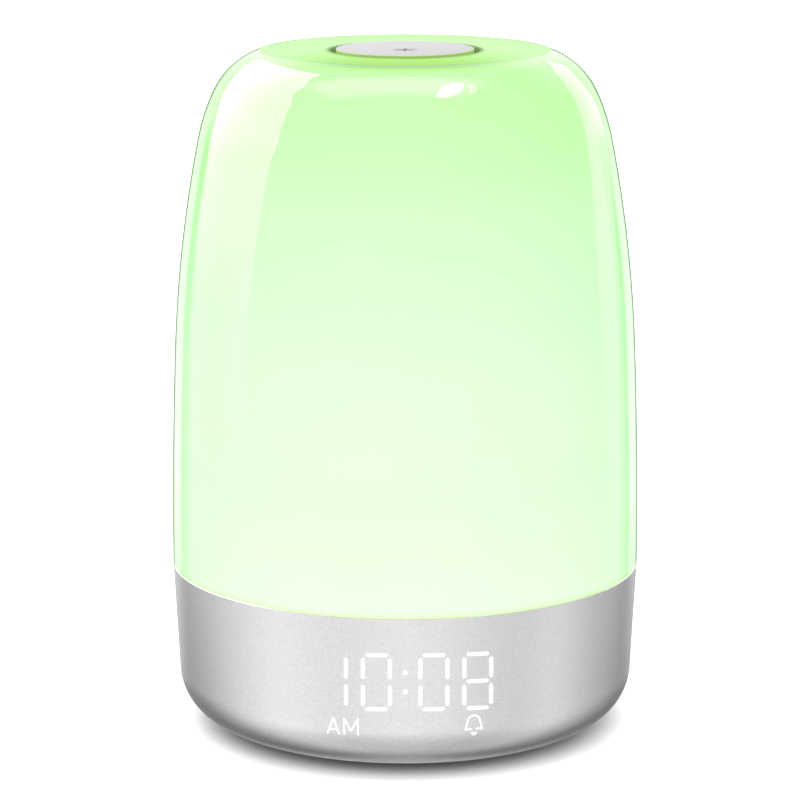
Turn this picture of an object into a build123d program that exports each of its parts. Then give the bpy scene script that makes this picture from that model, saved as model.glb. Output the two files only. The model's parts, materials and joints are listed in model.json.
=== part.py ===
from build123d import *
import os
from math import asin, cos, degrees, radians, sin, sqrt, tan

# Sunrise alarm clock: a translucent dome lamp on a silver base that holds the clock.
# Millimetres, +Z up. The display faces -Y, and the origin is on the table, under the middle.

# Driving dimensions
body_diameter = 100.0
overall_height = 145.0  # table to the top of the light button
seam_height = 35.0  # where the dome meets the base
shell_lift = 1.2  # the base shell stays this far off the table
base_fillet = 10.8  # the round between the base's side and its underside
side_lean = 2.94  # degrees by which the base's side leans in towards the table
base_wall = 2.2
dome_wall = 2.2
side_turn = 2.4  # degrees that the dome's long side arc turns in
shoulder_arcs = ((282.0, 9.1), (43.0, 13.7), (16.3, 47.5))  # radius and degrees, up to the flat top
button_radius = 14.5
button_proud = 0.3  # the light button stands above the flat top
button_gap = 1.1  # open ring between the light button and its pocket
button_travel = 0.6
button_edge = 0.25  # the round at the light button's rim
key_width = 4.6
key_height = 3.6
key_proud = 0.4
key_lip = 0.8  # a key's lip stays behind the shell and keeps it in
key_travel = 0.35
key_names = ("alarm", "time", "minus", "plus", "sound")
speaker_radius = 16.0
battery_thickness = 8.0
battery_length = 34.0
battery_width = 30.0
main_board_radius = 24.5
led_board_radius = 34.0

# Clearances
running_gap = 0.05  # a shaft in its hole, or a screw in its boss
fit_gap = 0.2  # one moulding in another, and a key in its window
leaf_gap = 0.05  # between the thin leaves of the display
board_hole_gap = 0.2  # a board's screw holes
lift_gap = 1.5  # under the button and over the parts it comes down to
cell_gap = 0.4  # the cell over the shell's floor

# Walls and stock
board_thickness = 1.6
deck_wall = 2.0
cover_wall = 2.0
cover_rim_wall = 1.0
window_wall = 0.8  # the shell is thinned to this over the display
boss_wall = 1.3  # plastic around a screw
small_screw_radius = 0.85
small_screw_head = 1.6
big_screw_radius = 1.25
big_screw_head = 2.3
head_height = 1.2
lead_width = 2.2  # two cores side by side
lead_thickness = 1.1
ribbon_width = 10.0
ribbon_thickness = 0.3
ribbon_bend = 1.5

# Heights that follow
body_radius = body_diameter / 2
lean = tan(radians(side_lean))
dome_top = overall_height - button_proud
spigot_depth = 1.8  # the dome reaches down into the shell's mouth
deck_step = 2.0
deck_rim_top = seam_height - spigot_depth
deck_rim_under = deck_rim_top - deck_wall
deck_table_top = deck_rim_top + deck_step
deck_table_under = deck_table_top - deck_wall
led_board_top = deck_table_top + board_thickness
cover_under = shell_lift
cover_top = cover_under + cover_wall
collar_top = cover_top + 1.4
foot_height = 1.9

# Plan places that follow
flat_radius = body_radius - (seam_height - shell_lift) * lean - base_fillet  # inside the round
cover_radius = flat_radius - 1.4
cover_land = cover_radius - 2.0
post_circle = 28.5
post_radius = 3.2
post_angles = (25, 155, -40, -140)
speaker_y = -13.0
battery_y = speaker_y + speaker_radius + 2.0 + battery_width / 2
display_depth = 12.5  # display board's face behind the widest part of the body
key_depth = 12.0  # the same for the key board
display_face = -(body_radius - display_depth)
key_face = body_radius - key_depth
digit_drop = 13.5  # middle of the digits below the seam
sign_gap = 4.1  # from the digits' lowest bars to the middle of the signs
key_drop = 11.0
usb_drop = 19.0
digit_z = seam_height - digit_drop
key_z = seam_height - key_drop
usb_z = seam_height - usb_drop

# The display's cells
digit_centres = (-14.8, -5.85, 5.85, 14.8)
digit_width = 5.5  # between the middles of the upright bars
digit_height = 11.6  # between the middles of the top and bottom bars
sign_z = digit_z - digit_height / 2 - sign_gap
bar_width = 0.95
bar_end_gap = 0.3
colon_rise = 2.05
window_width = 39.0
window_top = digit_z + digit_height / 2 + 1.6
window_bottom = sign_z - 2.8
display_board_width = 48.0
board_screw_reach = 21.6  # the display board's screws from its middle
key_board_width = 44.0
key_screw_reach = 19.2

# The light button's switch, from the pocket down
cap_thickness = 2.4
cap_under = overall_height - cap_thickness
pocket_floor = cap_under - button_travel - lift_gap / 2
pocket_radius = button_radius + button_gap
pocket_wall = 2.0
stem_radius = 3.0
clip_radius = 5.0
clip_thickness = 0.6
bush_end = pocket_floor - pocket_wall - 1.4
clip_top = bush_end - running_gap
stem_end = clip_top - clip_thickness - 0.7
switch_size = 6.0
plunger_radius = 1.75
switch_top = stem_end - button_travel - 1.0
switch_under = switch_top - 3.0
top_board_under = switch_under - board_thickness
top_board_radius = 11.0
top_screw_reach = 8.4
column_radius = 4.0
column_bore = 2.8

# The loudspeaker, which faces down, from the cover up
gasket_thickness = 0.8
flange_thickness = 1.2
speaker_front = cover_top + gasket_thickness
flange_back = speaker_front + flange_thickness
flange_width = 2.4
basket_back = speaker_front + 6.0
basket_wall = 1.0
pot_radius = 8.5
pot_wall = 1.2
plate_radius = 5.8
coil_gap = 0.35
coil_wall = 0.4
pot_back = basket_back + 6.5
cone_radius = speaker_radius - 4.2
speaker_screw_angles = (30, 150, 270)
speaker_screw_circle = speaker_radius + 2.4

main_board_under = pot_back + 3.5
main_board_top = main_board_under + board_thickness
standoff_circle = 19.5
standoff_angles = (45, 135, 225, 315)
led_screw_circle = led_board_radius - 3.4
dome_screw_circle = body_radius - 6.6
dome_screw_angles = (45, 135, 225, 315)
deck_rim_radius = dome_screw_circle + 2.2
table_radius = dome_screw_circle - 4.6
flange_inner = table_radius + 1.8


# Shared forms
def rod(radius, bottom, top, x=0.0, y=0.0):
    return Pos(x, y, (bottom + top) / 2) * Cylinder(radius, top - bottom)


def pipe(outer, inner, bottom, top, x=0.0, y=0.0):
    return rod(outer, bottom, top, x, y) - rod(inner, bottom - 1, top + 1, x, y)


def block(x_low, x_high, y_low, y_high, z_low, z_high):
    size = (x_high - x_low, y_high - y_low, z_high - z_low)
    return Pos((x_low + x_high) / 2, (y_low + y_high) / 2, (z_low + z_high) / 2) * Box(*size)


def turned(*lines):
    """A solid of revolution about Z from lines drawn as (radius, height)."""
    edges = [edge for line in lines for edge in line.edges()]
    return revolve(Plane.XZ * make_face(edges), Axis.Z)


def along_y(sketch, y_from, y_to, x=0.0, z=0.0):
    """A sketch drawn in X and Z, pushed from y_from to y_to."""
    plane = Plane((x, y_from, z), x_dir=(1, 0, 0), z_dir=(0, -1, 0))
    return extrude(plane * sketch, y_from - y_to)


def on_circle(circle, angle, x=0.0, y=0.0):
    return x + circle * cos(radians(angle)), y + circle * sin(radians(angle))


def screw(radius, length, head_radius):
    """A pan-head screw, its head's seat at the origin and its shank down."""
    return rod(radius, -length, 0) + rod(head_radius, 0, head_height)


def lead(*points):
    """A flat two-core lead of straight runs and the largest arcs that they allow."""
    spots = [Vector(*point) for point in points]
    radii = []
    for before, here, after in zip(spots, spots[1:], spots[2:]):
        turn = radians((here - before).get_angle(after - here))
        run = min((here - before).length, (after - here).length)
        radii.append(0.45 * run / tan(turn / 2))
    print("lead radii", [round(radius, 1) for radius in radii])
    path = FilletPolyline(*points, radius=radii)
    start = Plane(path @ 0, z_dir=path % 0)
    return sweep(start * Rectangle(lead_width, lead_thickness), path)


def ribbon(*points):
    """A flat cable whose route is drawn as (y, height)."""
    path = FilletPolyline(*points, radius=ribbon_bend)
    side = Plane.YZ.offset(-ribbon_width / 2)
    return extrude(side * trace(path, ribbon_thickness), ribbon_width)


def group(solids):
    return Compound(children=[piece for solid in solids for piece in solid.solids()])


# The base
def side_radius(height, inset=0.0):
    """Radius of the base's straight side at a height, moved in by inset."""
    return body_radius - (seam_height - height) * lean - inset / cos(radians(side_lean))


def base_form(inset, top):
    """The base's outside, moved in by inset, as one solid up to top."""
    foot = shell_lift + inset
    side = FilletPolyline(
        (0, foot),
        (side_radius(foot, inset), foot),
        (side_radius(top, inset), top),
        radius=base_fillet - inset,
    )
    back = Polyline((side_radius(top, inset), top), (0, top), (0, foot))
    return turned(side, back)


def inner_form(inset=0.0):
    """The space inside the base shell, with the same shrinking."""
    return base_form(base_wall + inset, seam_height + 1)


def wall_boss(x, z, face, side):
    """A screw boss from a board's face out to the shell, on the front (-1) or rear (+1)."""
    boss_radius = small_screw_radius + running_gap + boss_wall
    boss = along_y(Circle(boss_radius), face, side * body_radius, x, z)
    return boss & base_form(base_wall / 2, seam_height)


def wall_boss_hole(x, z, face, side):
    return along_y(Circle(small_screw_radius + running_gap), face, face + side * 3.4, x, z)


display_screw_heights = (window_bottom + 3.0, window_top - 2.6)
display_screw_spots = [(x, z) for x in (-board_screw_reach, board_screw_reach) for z in display_screw_heights]
key_screw_heights = (usb_z - 1.0, key_z + 3.0)
key_screw_spots = [(x, z) for x in (-key_screw_reach, key_screw_reach) for z in key_screw_heights]
key_pitch = key_width + 2 * key_lip + 0.8
key_spots = [key_pitch * (index - 2) for index in range(len(key_names))]
mouth_radius = body_radius - base_wall + fit_gap


def base_shell():
    shell = base_form(0, seam_height) - inner_form()
    shell -= rod(mouth_radius, deck_rim_under, seam_height + 1)
    shell -= rod(cover_radius + fit_gap, 0, cover_under + cover_rim_wall)
    shell -= rod(cover_land + fit_gap, 0, cover_top + base_wall)
    window = block(-window_width / 2, window_width / 2, -body_radius, -1, window_bottom, window_top)
    shell -= base_form(window_wall, seam_height) & window
    for x, z in display_screw_spots:
        shell += wall_boss(x, z, display_face, -1)
        shell -= wall_boss_hole(x, z, display_face, -1)
    for x, z in key_screw_spots:
        shell += wall_boss(x, z, key_face, 1)
        shell -= wall_boss_hole(x, z, key_face, 1)
    for x in key_spots:
        hole = SlotOverall(key_width + 2 * fit_gap, key_height + 2 * fit_gap)
        shell -= along_y(hole, key_face, body_radius + 1, x, key_z)
    inlet = RectangleRounded(11.2, 7.0, 1.5)
    shell -= along_y(inlet, key_face, body_radius + 1, 0, usb_z)
    return shell


# The dome
def shoulder_reach():
    """How far the shoulder's arcs climb, from the end of the side arc to the flat top."""
    heading = radians(side_turn)
    climb = 0.0
    for radius, turn in shoulder_arcs:
        after = heading + radians(turn)
        climb += radius * (sin(after) - sin(heading))
        heading = after
    return climb


side_arc_radius = (dome_top - seam_height - shoulder_reach()) / sin(radians(side_turn))
flange_top = seam_height + 0.8


def dome_line(inset, foot):
    """The dome's outline from foot up to the crease, moved in by inset: arcs that run into each other."""
    bend = side_arc_radius - inset
    start = degrees(asin((foot - seam_height) / bend))
    side = CenterArc((body_radius - side_arc_radius, seam_height), bend, start, side_turn - start)
    line = [side]
    for radius, turn in shoulder_arcs:
        line.append(JernArc(line[-1] @ 1, line[-1] % 1, radius - inset, turn))
    return line


def diffuser_dome():
    outer = dome_line(0, seam_height)
    inner = dome_line(dome_wall, flange_top)
    crease = outer[-1] @ 1
    ceiling = inner[-1] @ 1
    floor_under = pocket_floor - pocket_wall
    hole = stem_radius + running_gap
    crown = Polyline(
        crease,
        (pocket_radius, dome_top),
        (pocket_radius, pocket_floor),
        (hole, pocket_floor),
        (hole, bush_end),
        (stem_radius + pocket_wall, bush_end),
        (stem_radius + pocket_wall, floor_under),
        (pocket_radius + pocket_wall, floor_under),
        (pocket_radius + pocket_wall, ceiling.Y),
        ceiling,
    )
    spigot = Polyline(
        inner[0] @ 0,
        (flange_inner, flange_top),
        (flange_inner, deck_rim_top),
        (mouth_radius - fit_gap, deck_rim_top),
        (mouth_radius - fit_gap, seam_height),
        outer[0] @ 0,
    )
    dome = turned(*outer, crown, *inner, spigot)
    boss_radius = big_screw_radius + running_gap + boss_wall
    for angle in dome_screw_angles:
        x, y = on_circle(dome_screw_circle, angle)
        dome += rod(boss_radius, deck_rim_top, flange_top + 3.6, x, y)
        dome -= rod(big_screw_radius + running_gap, deck_rim_top - 1, flange_top + 2.6, x, y)
    for x in (-top_screw_reach, top_screw_reach):
        dome += rod(small_screw_radius + running_gap + boss_wall, switch_under, floor_under + 0.5, x)
        dome -= rod(small_screw_radius + running_gap, switch_under - 1, switch_under + 4.5, x)
    return dome


def dome_screws():
    one = Rot(180, 0, 0) * screw(big_screw_radius, deck_wall + 4.4, big_screw_head)
    spots = [on_circle(dome_screw_circle, angle) for angle in dome_screw_angles]
    return group([Pos(x, y, deck_rim_under) * one for x, y in spots])


# The light button and its switch
def light_button():
    recess = cap_under + 0.9
    rim = button_radius - 1.8
    neck = clip_radius - 2.6
    clip_under = clip_top - clip_thickness
    rim_start = (button_radius - button_edge, overall_height)
    rim_end = (button_radius, overall_height - button_edge)
    upper = Polyline((0, overall_height), rim_start)
    corner = RadiusArc(rim_start, rim_end, button_edge)
    lower = Polyline(
        rim_end,
        (button_radius, cap_under),
        (rim, cap_under),
        (rim, recess),
        (stem_radius, recess),
        (stem_radius, clip_top),
        (neck, clip_top),
        (neck, clip_under),
        (stem_radius, clip_under),
        (stem_radius, stem_end),
        (0, stem_end),
        (0, overall_height),
    )
    return turned(upper, corner, lower)


def button_clip():
    neck = clip_radius - 2.6
    clip = pipe(clip_radius, neck, clip_top - clip_thickness, clip_top)
    return clip - block(0, clip_radius, -neck * 0.8, neck * 0.8, clip_top - 1, clip_top + 1)


def top_switch():
    half = switch_size / 2
    body = block(-half, half, -half, half, switch_under, switch_top)
    return body - rod(plunger_radius + running_gap, switch_under + 0.9, switch_top + 1)


def top_switch_plunger():
    return rod(plunger_radius, switch_under + 1.0 + button_travel, stem_end)


def top_board():
    board = rod(top_board_radius, top_board_under, switch_under)
    for x in (-top_screw_reach, top_screw_reach):
        board -= rod(small_screw_radius + board_hole_gap, top_board_under - 1, switch_under + 1, x)
    return board


def top_board_screws():
    one = Rot(180, 0, 0) * screw(small_screw_radius, board_thickness + 4.0, small_screw_head)
    return group([Pos(x, 0, top_board_under) * one for x in (-top_screw_reach, top_screw_reach)])


def switch_column():
    return pipe(column_radius, column_bore, deck_table_top, top_board_under)


def top_lead():
    plug_x, plug_y = plug_spots["top"]
    plug_top = main_board_top + plug_height
    drop = top_board_under - deck_table_top
    return lead(
        (0.5, 0.0, top_board_under),
        (0.5, 0.0, top_board_under - 0.25 * drop),
        (-0.6, 0.3, top_board_under - 0.60 * drop),
        (0.0, 0.0, deck_table_under - 2.0),
        (plug_x, plug_y, deck_rim_under - 1.0),
        (plug_x, plug_y, plug_top),
    )


# The deck, which carries the lamp above and the clock below
def led_deck():
    step = Polyline(
        (0, deck_table_top),
        (table_radius, deck_table_top),
        (table_radius, deck_rim_top),
        (deck_rim_radius, deck_rim_top),
        (deck_rim_radius, deck_rim_under),
        (table_radius - deck_wall, deck_rim_under),
        (table_radius - deck_wall, deck_table_under),
        (0, deck_table_under),
        (0, deck_table_top),
    )
    deck = turned(step)
    collar_inner = column_radius + running_gap
    deck += pipe(collar_inner + boss_wall, collar_inner, deck_table_top, led_board_top + 2.4)
    for angle in post_angles:
        rib = block(5.0, post_circle, -0.7, 0.7, deck_table_under - 2.4, deck_table_under)
        x, y = on_circle(post_circle, angle)
        deck += Rot(0, 0, angle) * rib
        deck += rod(post_radius, collar_top, deck_table_under, x, y)
    for angle in post_angles:
        x, y = on_circle(post_circle, angle)
        deck -= rod(big_screw_radius + running_gap, collar_top - 1, collar_top + 9, x, y)
    standoff_radius = small_screw_radius + running_gap + boss_wall
    for angle in standoff_angles:
        x, y = on_circle(standoff_circle, angle)
        deck += rod(standoff_radius, main_board_top, deck_table_under, x, y)
        deck -= rod(small_screw_radius + running_gap, main_board_top - 1, main_board_top + 4, x, y)
    for angle in led_screw_angles:
        x, y = on_circle(led_screw_circle, angle)
        deck += rod(standoff_radius, deck_table_under - 3.2, deck_table_under, x, y)
        deck -= rod(small_screw_radius + running_gap, deck_table_under - 2.6, deck_table_top + 1, x, y)
    for angle in dome_screw_angles:
        x, y = on_circle(dome_screw_circle, angle)
        deck -= rod(big_screw_radius + board_hole_gap, deck_rim_under - 1, deck_rim_top + 1, x, y)
    for x, y in (led_wire_spot, (0, 0)):
        deck -= rod(wire_hole_radius, deck_table_under - 3, deck_table_top + 1, x, y)
    return deck


led_screw_angles = (0, 90, 180, 270)
led_wire_spot = (9.0, 12.0)
wire_hole_radius = lead_width / 2 + 0.9
led_rings = ((6, 11.0), (12, 19.5), (16, 27.5))


def led_board():
    board = pipe(led_board_radius, column_radius + boss_wall + 0.6, deck_table_top, led_board_top)
    for angle in led_screw_angles:
        x, y = on_circle(led_screw_circle, angle)
        board -= rod(small_screw_radius + board_hole_gap, deck_table_top - 1, led_board_top + 1, x, y)
    return board


def led_emitters():
    emitters = []
    for count, circle in led_rings:
        for index in range(count):
            angle = 360 * (index + 0.5) / count
            lamp = block(-1.75, 1.75, -1.4, 1.4, 0, 0.8)
            x, y = on_circle(circle, angle)
            emitters.append(Pos(x, y, led_board_top) * (Rot(0, 0, angle) * lamp))
    return group(emitters)


def led_board_screws():
    one = screw(small_screw_radius, board_thickness + deck_wall + 2.2, small_screw_head)
    spots = [on_circle(led_screw_circle, angle) for angle in led_screw_angles]
    return group([Pos(x, y, led_board_top) * one for x, y in spots])


# The main board hangs from the deck
plug_height = 3.0
plug_spots = {"led": (8.0, 8.0), "top": (-7.5, 0.0), "speaker": (-15.0, -2.0), "battery": (15.0, -2.0)}
ribbon_plug_reach = 16.5


def main_board():
    board = rod(main_board_radius, main_board_under, main_board_top)
    for angle in standoff_angles:
        x, y = on_circle(standoff_circle, angle)
        board -= rod(small_screw_radius + board_hole_gap, main_board_under - 1, main_board_top + 1, x, y)
    notch = main_board_radius - 5.0
    for side in (-1, 1):
        slot = block(notch, main_board_radius + 1, -4.5, 0.5, main_board_under - 1, main_board_top + 1)
        board -= slot if side > 0 else mirror(slot, Plane.YZ)
    return board


def main_board_screws():
    one = Rot(180, 0, 0) * screw(small_screw_radius, board_thickness + 3.5, small_screw_head)
    spots = [on_circle(standoff_circle, angle) for angle in standoff_angles]
    return group([Pos(x, y, main_board_under) * one for x, y in spots])


def main_board_chips():
    base = main_board_top
    clock = block(-4.0, 4.0, -10.0, -3.0, base, base + 1.2)
    driver = block(-1.5, 3.5, 6.5, 10.5, base, base + 1.5)
    crystal = block(6.5, 9.5, -8.0, -6.5, base, base + 1.4)
    amplifier = block(-10.5, -6.5, -10.5, -6.5, base, base + 1.5)
    return group([clock, driver, crystal, amplifier])


def main_board_capacitors():
    spots = ((8.0, -12.5), (-8.5, 9.5))
    return group([rod(2.4, main_board_top, main_board_top + 5.0, x, y) for x, y in spots])


def main_board_connectors():
    solids = []
    for x, y in plug_spots.values():
        solids.append(block(x - 2.6, x + 2.6, y - 1.9, y + 1.9, main_board_top, main_board_top + plug_height))
    half = ribbon_width / 2 + 1
    for side in (-1, 1):
        low, high = sorted((side * ribbon_plug_reach, side * (ribbon_plug_reach + 3.0)))
        solids.append(block(-half, half, low, high, main_board_top, main_board_top + 2.4))
    return group(solids)


# The display, which shines through the thinned front of the base shell
def bar_shape(length):
    """One bar of a digit, lying along X, with pointed ends."""
    half = length / 2
    point = bar_width / 2
    outline = (
        (-half, 0),
        (-half + point, point),
        (half - point, point),
        (half, 0),
        (half - point, -point),
        (-half + point, -point),
    )
    return make_face(Polyline(*outline, close=True))


def digit_bars(x):
    """The seven bars of the digit whose middle is at x, as sketches in X and Z."""
    flat = bar_shape(digit_width - bar_end_gap)
    upright = Rot(0, 0, 90) * bar_shape(digit_height / 2 - bar_end_gap)
    bars = [Pos(x, digit_z + rise) * flat for rise in (-digit_height / 2, 0, digit_height / 2)]
    for side in (-1, 1):
        for rise in (-digit_height / 4, digit_height / 4):
            bars.append(Pos(x + side * digit_width / 2, digit_z + rise) * upright)
    return bars


am_spot = (-12.8, sign_z)
bell_spot = (14.1, sign_z)


def display_cells():
    cells = [bar for x in digit_centres for bar in digit_bars(x)]
    for rise in (-colon_rise, colon_rise):
        cells.append(Pos(0, digit_z + rise) * Circle(0.7))
    cells.append(Pos(*am_spot) * Rectangle(7.2, 3.6))
    cells.append(Pos(*bell_spot) * Rectangle(4.6, 4.4))
    return cells


def display_reflector():
    inset = window_wall + 2 * leaf_gap + 0.2
    half = window_width / 2 - fit_gap
    low = window_bottom + fit_gap
    high = window_top - fit_gap
    light_box = base_form(inset, seam_height) & block(-half, half, -body_radius, display_face, low, high)
    for cell in display_cells():
        light_box -= along_y(cell, -body_radius, display_face + 1)
    return light_box


def display_film():
    inset = window_wall + leaf_gap
    half = window_width / 2 - fit_gap
    leaf = base_form(inset, seam_height) - base_form(inset + 0.2, seam_height + 1)
    low = window_bottom + fit_gap
    high = window_top - fit_gap
    return leaf & block(-half, half, -body_radius, display_face, low, high)


def display_leds():
    lamps = []
    for cell in display_cells():
        middle = cell.center()
        box = cell.bounding_box().size
        width, height = (1.3, 0.6) if box.X > box.Y else (0.6, 1.3)
        lamp = Pos(middle.X, middle.Y) * Rectangle(width, height)
        lamps.append(along_y(lamp, display_face - 0.6, display_face))
    return group(lamps)


def display_board():
    back = display_face + board_thickness
    half = display_board_width / 2
    board = block(-half, half, display_face, back, window_bottom, window_top)
    for x, z in display_screw_spots:
        board -= along_y(Circle(small_screw_radius + board_hole_gap), display_face - 1, back + 1, x, z)
    return board


def display_screws():
    back = display_face + board_thickness
    one = Rot(-90, 0, 0) * screw(small_screw_radius, board_thickness + 3.0, small_screw_head)
    return group([Pos(x, back, z) * one for x, z in display_screw_spots])


def display_ribbon():
    back = display_face + board_thickness
    plug = -(ribbon_plug_reach + 3.0)
    rise = main_board_top + 1.2
    start = digit_z - 3.0
    return ribbon((back, start), (back + 5.0, start), (back + 6.5, rise), (plug, rise))


# The rear board: five key switches and the inlet
switch_height = 2.3
plunger_reach = 1.0
key_plunger_radius = 1.0
key_board_inside = key_face - board_thickness
key_switch_face = key_face + switch_height
key_back = key_switch_face + plunger_reach
key_lip_gap = 0.3


def key_board():
    half = key_board_width / 2
    board = block(-half, half, key_board_inside, key_face, usb_z - 5.5, key_z + 5.5)
    for x, z in key_screw_spots:
        hole = Circle(small_screw_radius + board_hole_gap)
        board -= along_y(hole, key_board_inside - 1, key_face + 1, x, z)
    return board


def key_board_screws():
    one = Rot(90, 0, 0) * screw(small_screw_radius, board_thickness + 3.0, small_screw_head)
    return group([Pos(x, key_board_inside, z) * one for x, z in key_screw_spots])


def key_switches():
    bodies = []
    for x in key_spots:
        body = along_y(Rectangle(4.5, 4.5), key_face, key_switch_face, x, key_z)
        hole = Circle(key_plunger_radius + running_gap)
        bodies.append(body - along_y(hole, key_face + 0.6, key_switch_face + 1, x, key_z))
    return group(bodies)


def key_plunger(x):
    return along_y(Circle(key_plunger_radius), key_face + 0.7 + key_travel, key_back, x, key_z)


def key(x):
    """A pill-shaped key with a lip that keeps it in, cut to the curve of the shell."""
    column = SlotOverall(key_width, key_height)
    lip = SlotOverall(key_width + 2 * key_lip, key_height + 2 * key_lip)
    outer = along_y(column, key_back, body_radius + 1, x, key_z) & base_form(-key_proud, seam_height)
    inner = along_y(lip, key_back, body_radius + 1, x, key_z) & inner_form(key_lip_gap)
    return outer + inner


def usb_socket():
    length = 6.8
    mouth = key_face + length
    case = along_y(RectangleRounded(7.8, 3.0, 0.7), key_face, mouth, 0, usb_z)
    case -= along_y(RectangleRounded(7.0, 2.2, 0.5), key_face + 1.2, mouth + 1, 0, usb_z)
    return case + along_y(Rectangle(4.8, 0.7), key_face + 1.0, mouth - 0.8, 0, usb_z - 0.3)


def key_ribbon():
    plug = ribbon_plug_reach + 3.0
    rise = main_board_top + 1.2
    start = usb_z + 2.0
    inside = key_board_inside
    return ribbon((inside, start), (inside - 5.0, start), (inside - 6.5, rise), (plug, rise))


# The loudspeaker
def at_speaker(solid):
    return Pos(0, speaker_y, 0) * solid


def speaker_frame():
    wall_radius = speaker_radius - flange_width
    pot_hole = pot_radius - pot_wall
    section = Polyline(
        (wall_radius - basket_wall, speaker_front),
        (speaker_radius, speaker_front),
        (speaker_radius, flange_back),
        (wall_radius, flange_back),
        (wall_radius - 1.2, basket_back),
        (pot_hole, basket_back),
        (pot_hole, basket_back - basket_wall),
        (wall_radius - 1.2 - basket_wall, basket_back - basket_wall),
        (wall_radius - basket_wall, flange_back),
        close=True,
    )
    frame = turned(section)
    middle = (pot_radius + 0.8 + wall_radius) / 2
    for angle in (45, 135, 225, 315):
        arc = CenterArc((0, 0), middle, angle - 25, 50)
        window = trace(arc, wall_radius - pot_radius - 2.4)
        frame -= Pos(0, 0, basket_back - 2 * basket_wall) * extrude(window, 3 * basket_wall)
    return at_speaker(frame)


def speaker_pot():
    bore = pot_radius - pot_wall
    section = Polyline(
        (bore, basket_back),
        (pot_radius, basket_back),
        (pot_radius, pot_back),
        (0, pot_back),
        (0, pot_back - pot_wall),
        (bore, pot_back - pot_wall),
        close=True,
    )
    return at_speaker(turned(section))


def speaker_magnet():
    return at_speaker(rod(plate_radius - 0.2, pot_back - pot_wall - 3.0, pot_back - pot_wall))


def speaker_plate():
    magnet_front = pot_back - pot_wall - 3.0
    return at_speaker(rod(plate_radius, magnet_front - 1.5, magnet_front))


coil_inner = plate_radius + coil_gap
coil_outer = coil_inner + coil_wall
cone_back = speaker_front + 4.6
cone_front = speaker_front + 0.9
cone_wall = 0.35
surround_wall = 0.3
dust_cap_rise = 1.6


def speaker_coil():
    return at_speaker(pipe(coil_outer, coil_inner, cone_back, pot_back - pot_wall - 3.6))


def speaker_cone():
    """The paper cone: a flat collar under the coil, then a flare, then a flat rim."""
    section = Polyline(
        (coil_inner - 0.6, cone_back - cone_wall),
        (coil_outer, cone_back - cone_wall),
        (cone_radius - 0.8, cone_front),
        (cone_radius, cone_front),
        (cone_radius, cone_front + cone_wall),
        (cone_radius - 0.6, cone_front + cone_wall),
        (coil_outer + 0.3, cone_back),
        (coil_inner - 0.6, cone_back),
        close=True,
    )
    return at_speaker(turned(section))


def speaker_dust_cap():
    """A shallow dome glued to the cone's collar, bulging towards the grille."""
    seat = cone_back - cone_wall
    ball_radius = (coil_inner**2 + dust_cap_rise**2) / (2 * dust_cap_rise)
    ball = Sphere(ball_radius) - Sphere(ball_radius - cone_wall)
    cap = Pos(0, 0, seat - dust_cap_rise + ball_radius) * ball
    return at_speaker(cap & rod(coil_inner, seat - 2 * dust_cap_rise, seat))


def speaker_surround():
    """The roll between the cone's rim and the frame."""
    inner = cone_radius
    outer = speaker_radius - flange_width - basket_wall
    seat = cone_front
    roll = (outer - inner) / 2
    slope = roll / 2
    section = Polyline(
        (inner, seat),
        (inner + slope, seat - roll),
        (outer - slope, seat - roll),
        (outer, seat),
        (outer, seat + surround_wall),
        (outer - slope, seat - roll + surround_wall),
        (inner + slope, seat - roll + surround_wall),
        (inner, seat + surround_wall),
        close=True,
    )
    return at_speaker(turned(section))


def speaker_gasket():
    inner = speaker_radius - flange_width
    return at_speaker(pipe(speaker_radius, inner, cover_top, speaker_front))


def speaker_screws():
    one = screw(small_screw_radius, flange_back - cover_top + 0.8, small_screw_head + 0.5)
    spots = [on_circle(speaker_screw_circle, angle, 0, speaker_y) for angle in speaker_screw_angles]
    return group([Pos(x, y, flange_back) * one for x, y in spots])


def speaker_lead():
    plug_x, plug_y = plug_spots["speaker"]
    plug_top = main_board_top + plug_height
    out = main_board_radius - 2.6
    start = speaker_radius - flange_width - 2.6
    return lead(
        (-start, speaker_y, basket_back),
        (-start, speaker_y, basket_back + 5.0),
        (-out, plug_y, main_board_under - 3.0),
        (-out, plug_y, plug_top + 5.0),
        (plug_x, plug_y, plug_top + 5.0),
        (plug_x, plug_y, plug_top),
    )


# The cell
battery_pad_thickness = shell_lift + base_wall + cell_gap - cover_top


def battery_cell():
    low = cover_top + battery_pad_thickness
    half = battery_length / 2
    core = Rectangle(battery_width, battery_thickness)
    pouch = extrude(Plane.YZ.offset(-half) * fillet(core.vertices(), 2.0), battery_length)
    return Pos(0, battery_y, low + battery_thickness / 2) * pouch


def battery_pad():
    half = battery_length / 2 - 3.0
    front = battery_y - battery_width / 2 + 2.5
    rear = battery_y + battery_width / 2 - 4.5
    return block(-half, half, front, rear, cover_top, cover_top + battery_pad_thickness)


def battery_lead():
    plug_x, plug_y = plug_spots["battery"]
    plug_top = main_board_top + plug_height
    out = main_board_radius - 2.6
    half = battery_length / 2
    level = cover_top + battery_pad_thickness + battery_thickness / 2
    return lead(
        (half, battery_y - 12.0, level),
        (half + 5.0, battery_y - 12.0, level),
        (out, plug_y, main_board_under - 3.0),
        (out, plug_y, plug_top + 5.0),
        (plug_x, plug_y, plug_top + 5.0),
        (plug_x, plug_y, plug_top),
    )


# The underside
grille_pitch = 3.4
grille_slot_width = 1.8
grille_slot_count = 2 * int((cone_radius - grille_slot_width / 2) / grille_pitch) + 1
foot_width = 3.4
foot_sweep = 52
foot_angles = (0, 90, 180, 270)
foot_circle = cover_radius - foot_width / 2 - 1.0


def foot_shape(width):
    return trace(CenterArc((0, 0), foot_circle, -foot_sweep / 2, foot_sweep), width)


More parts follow.
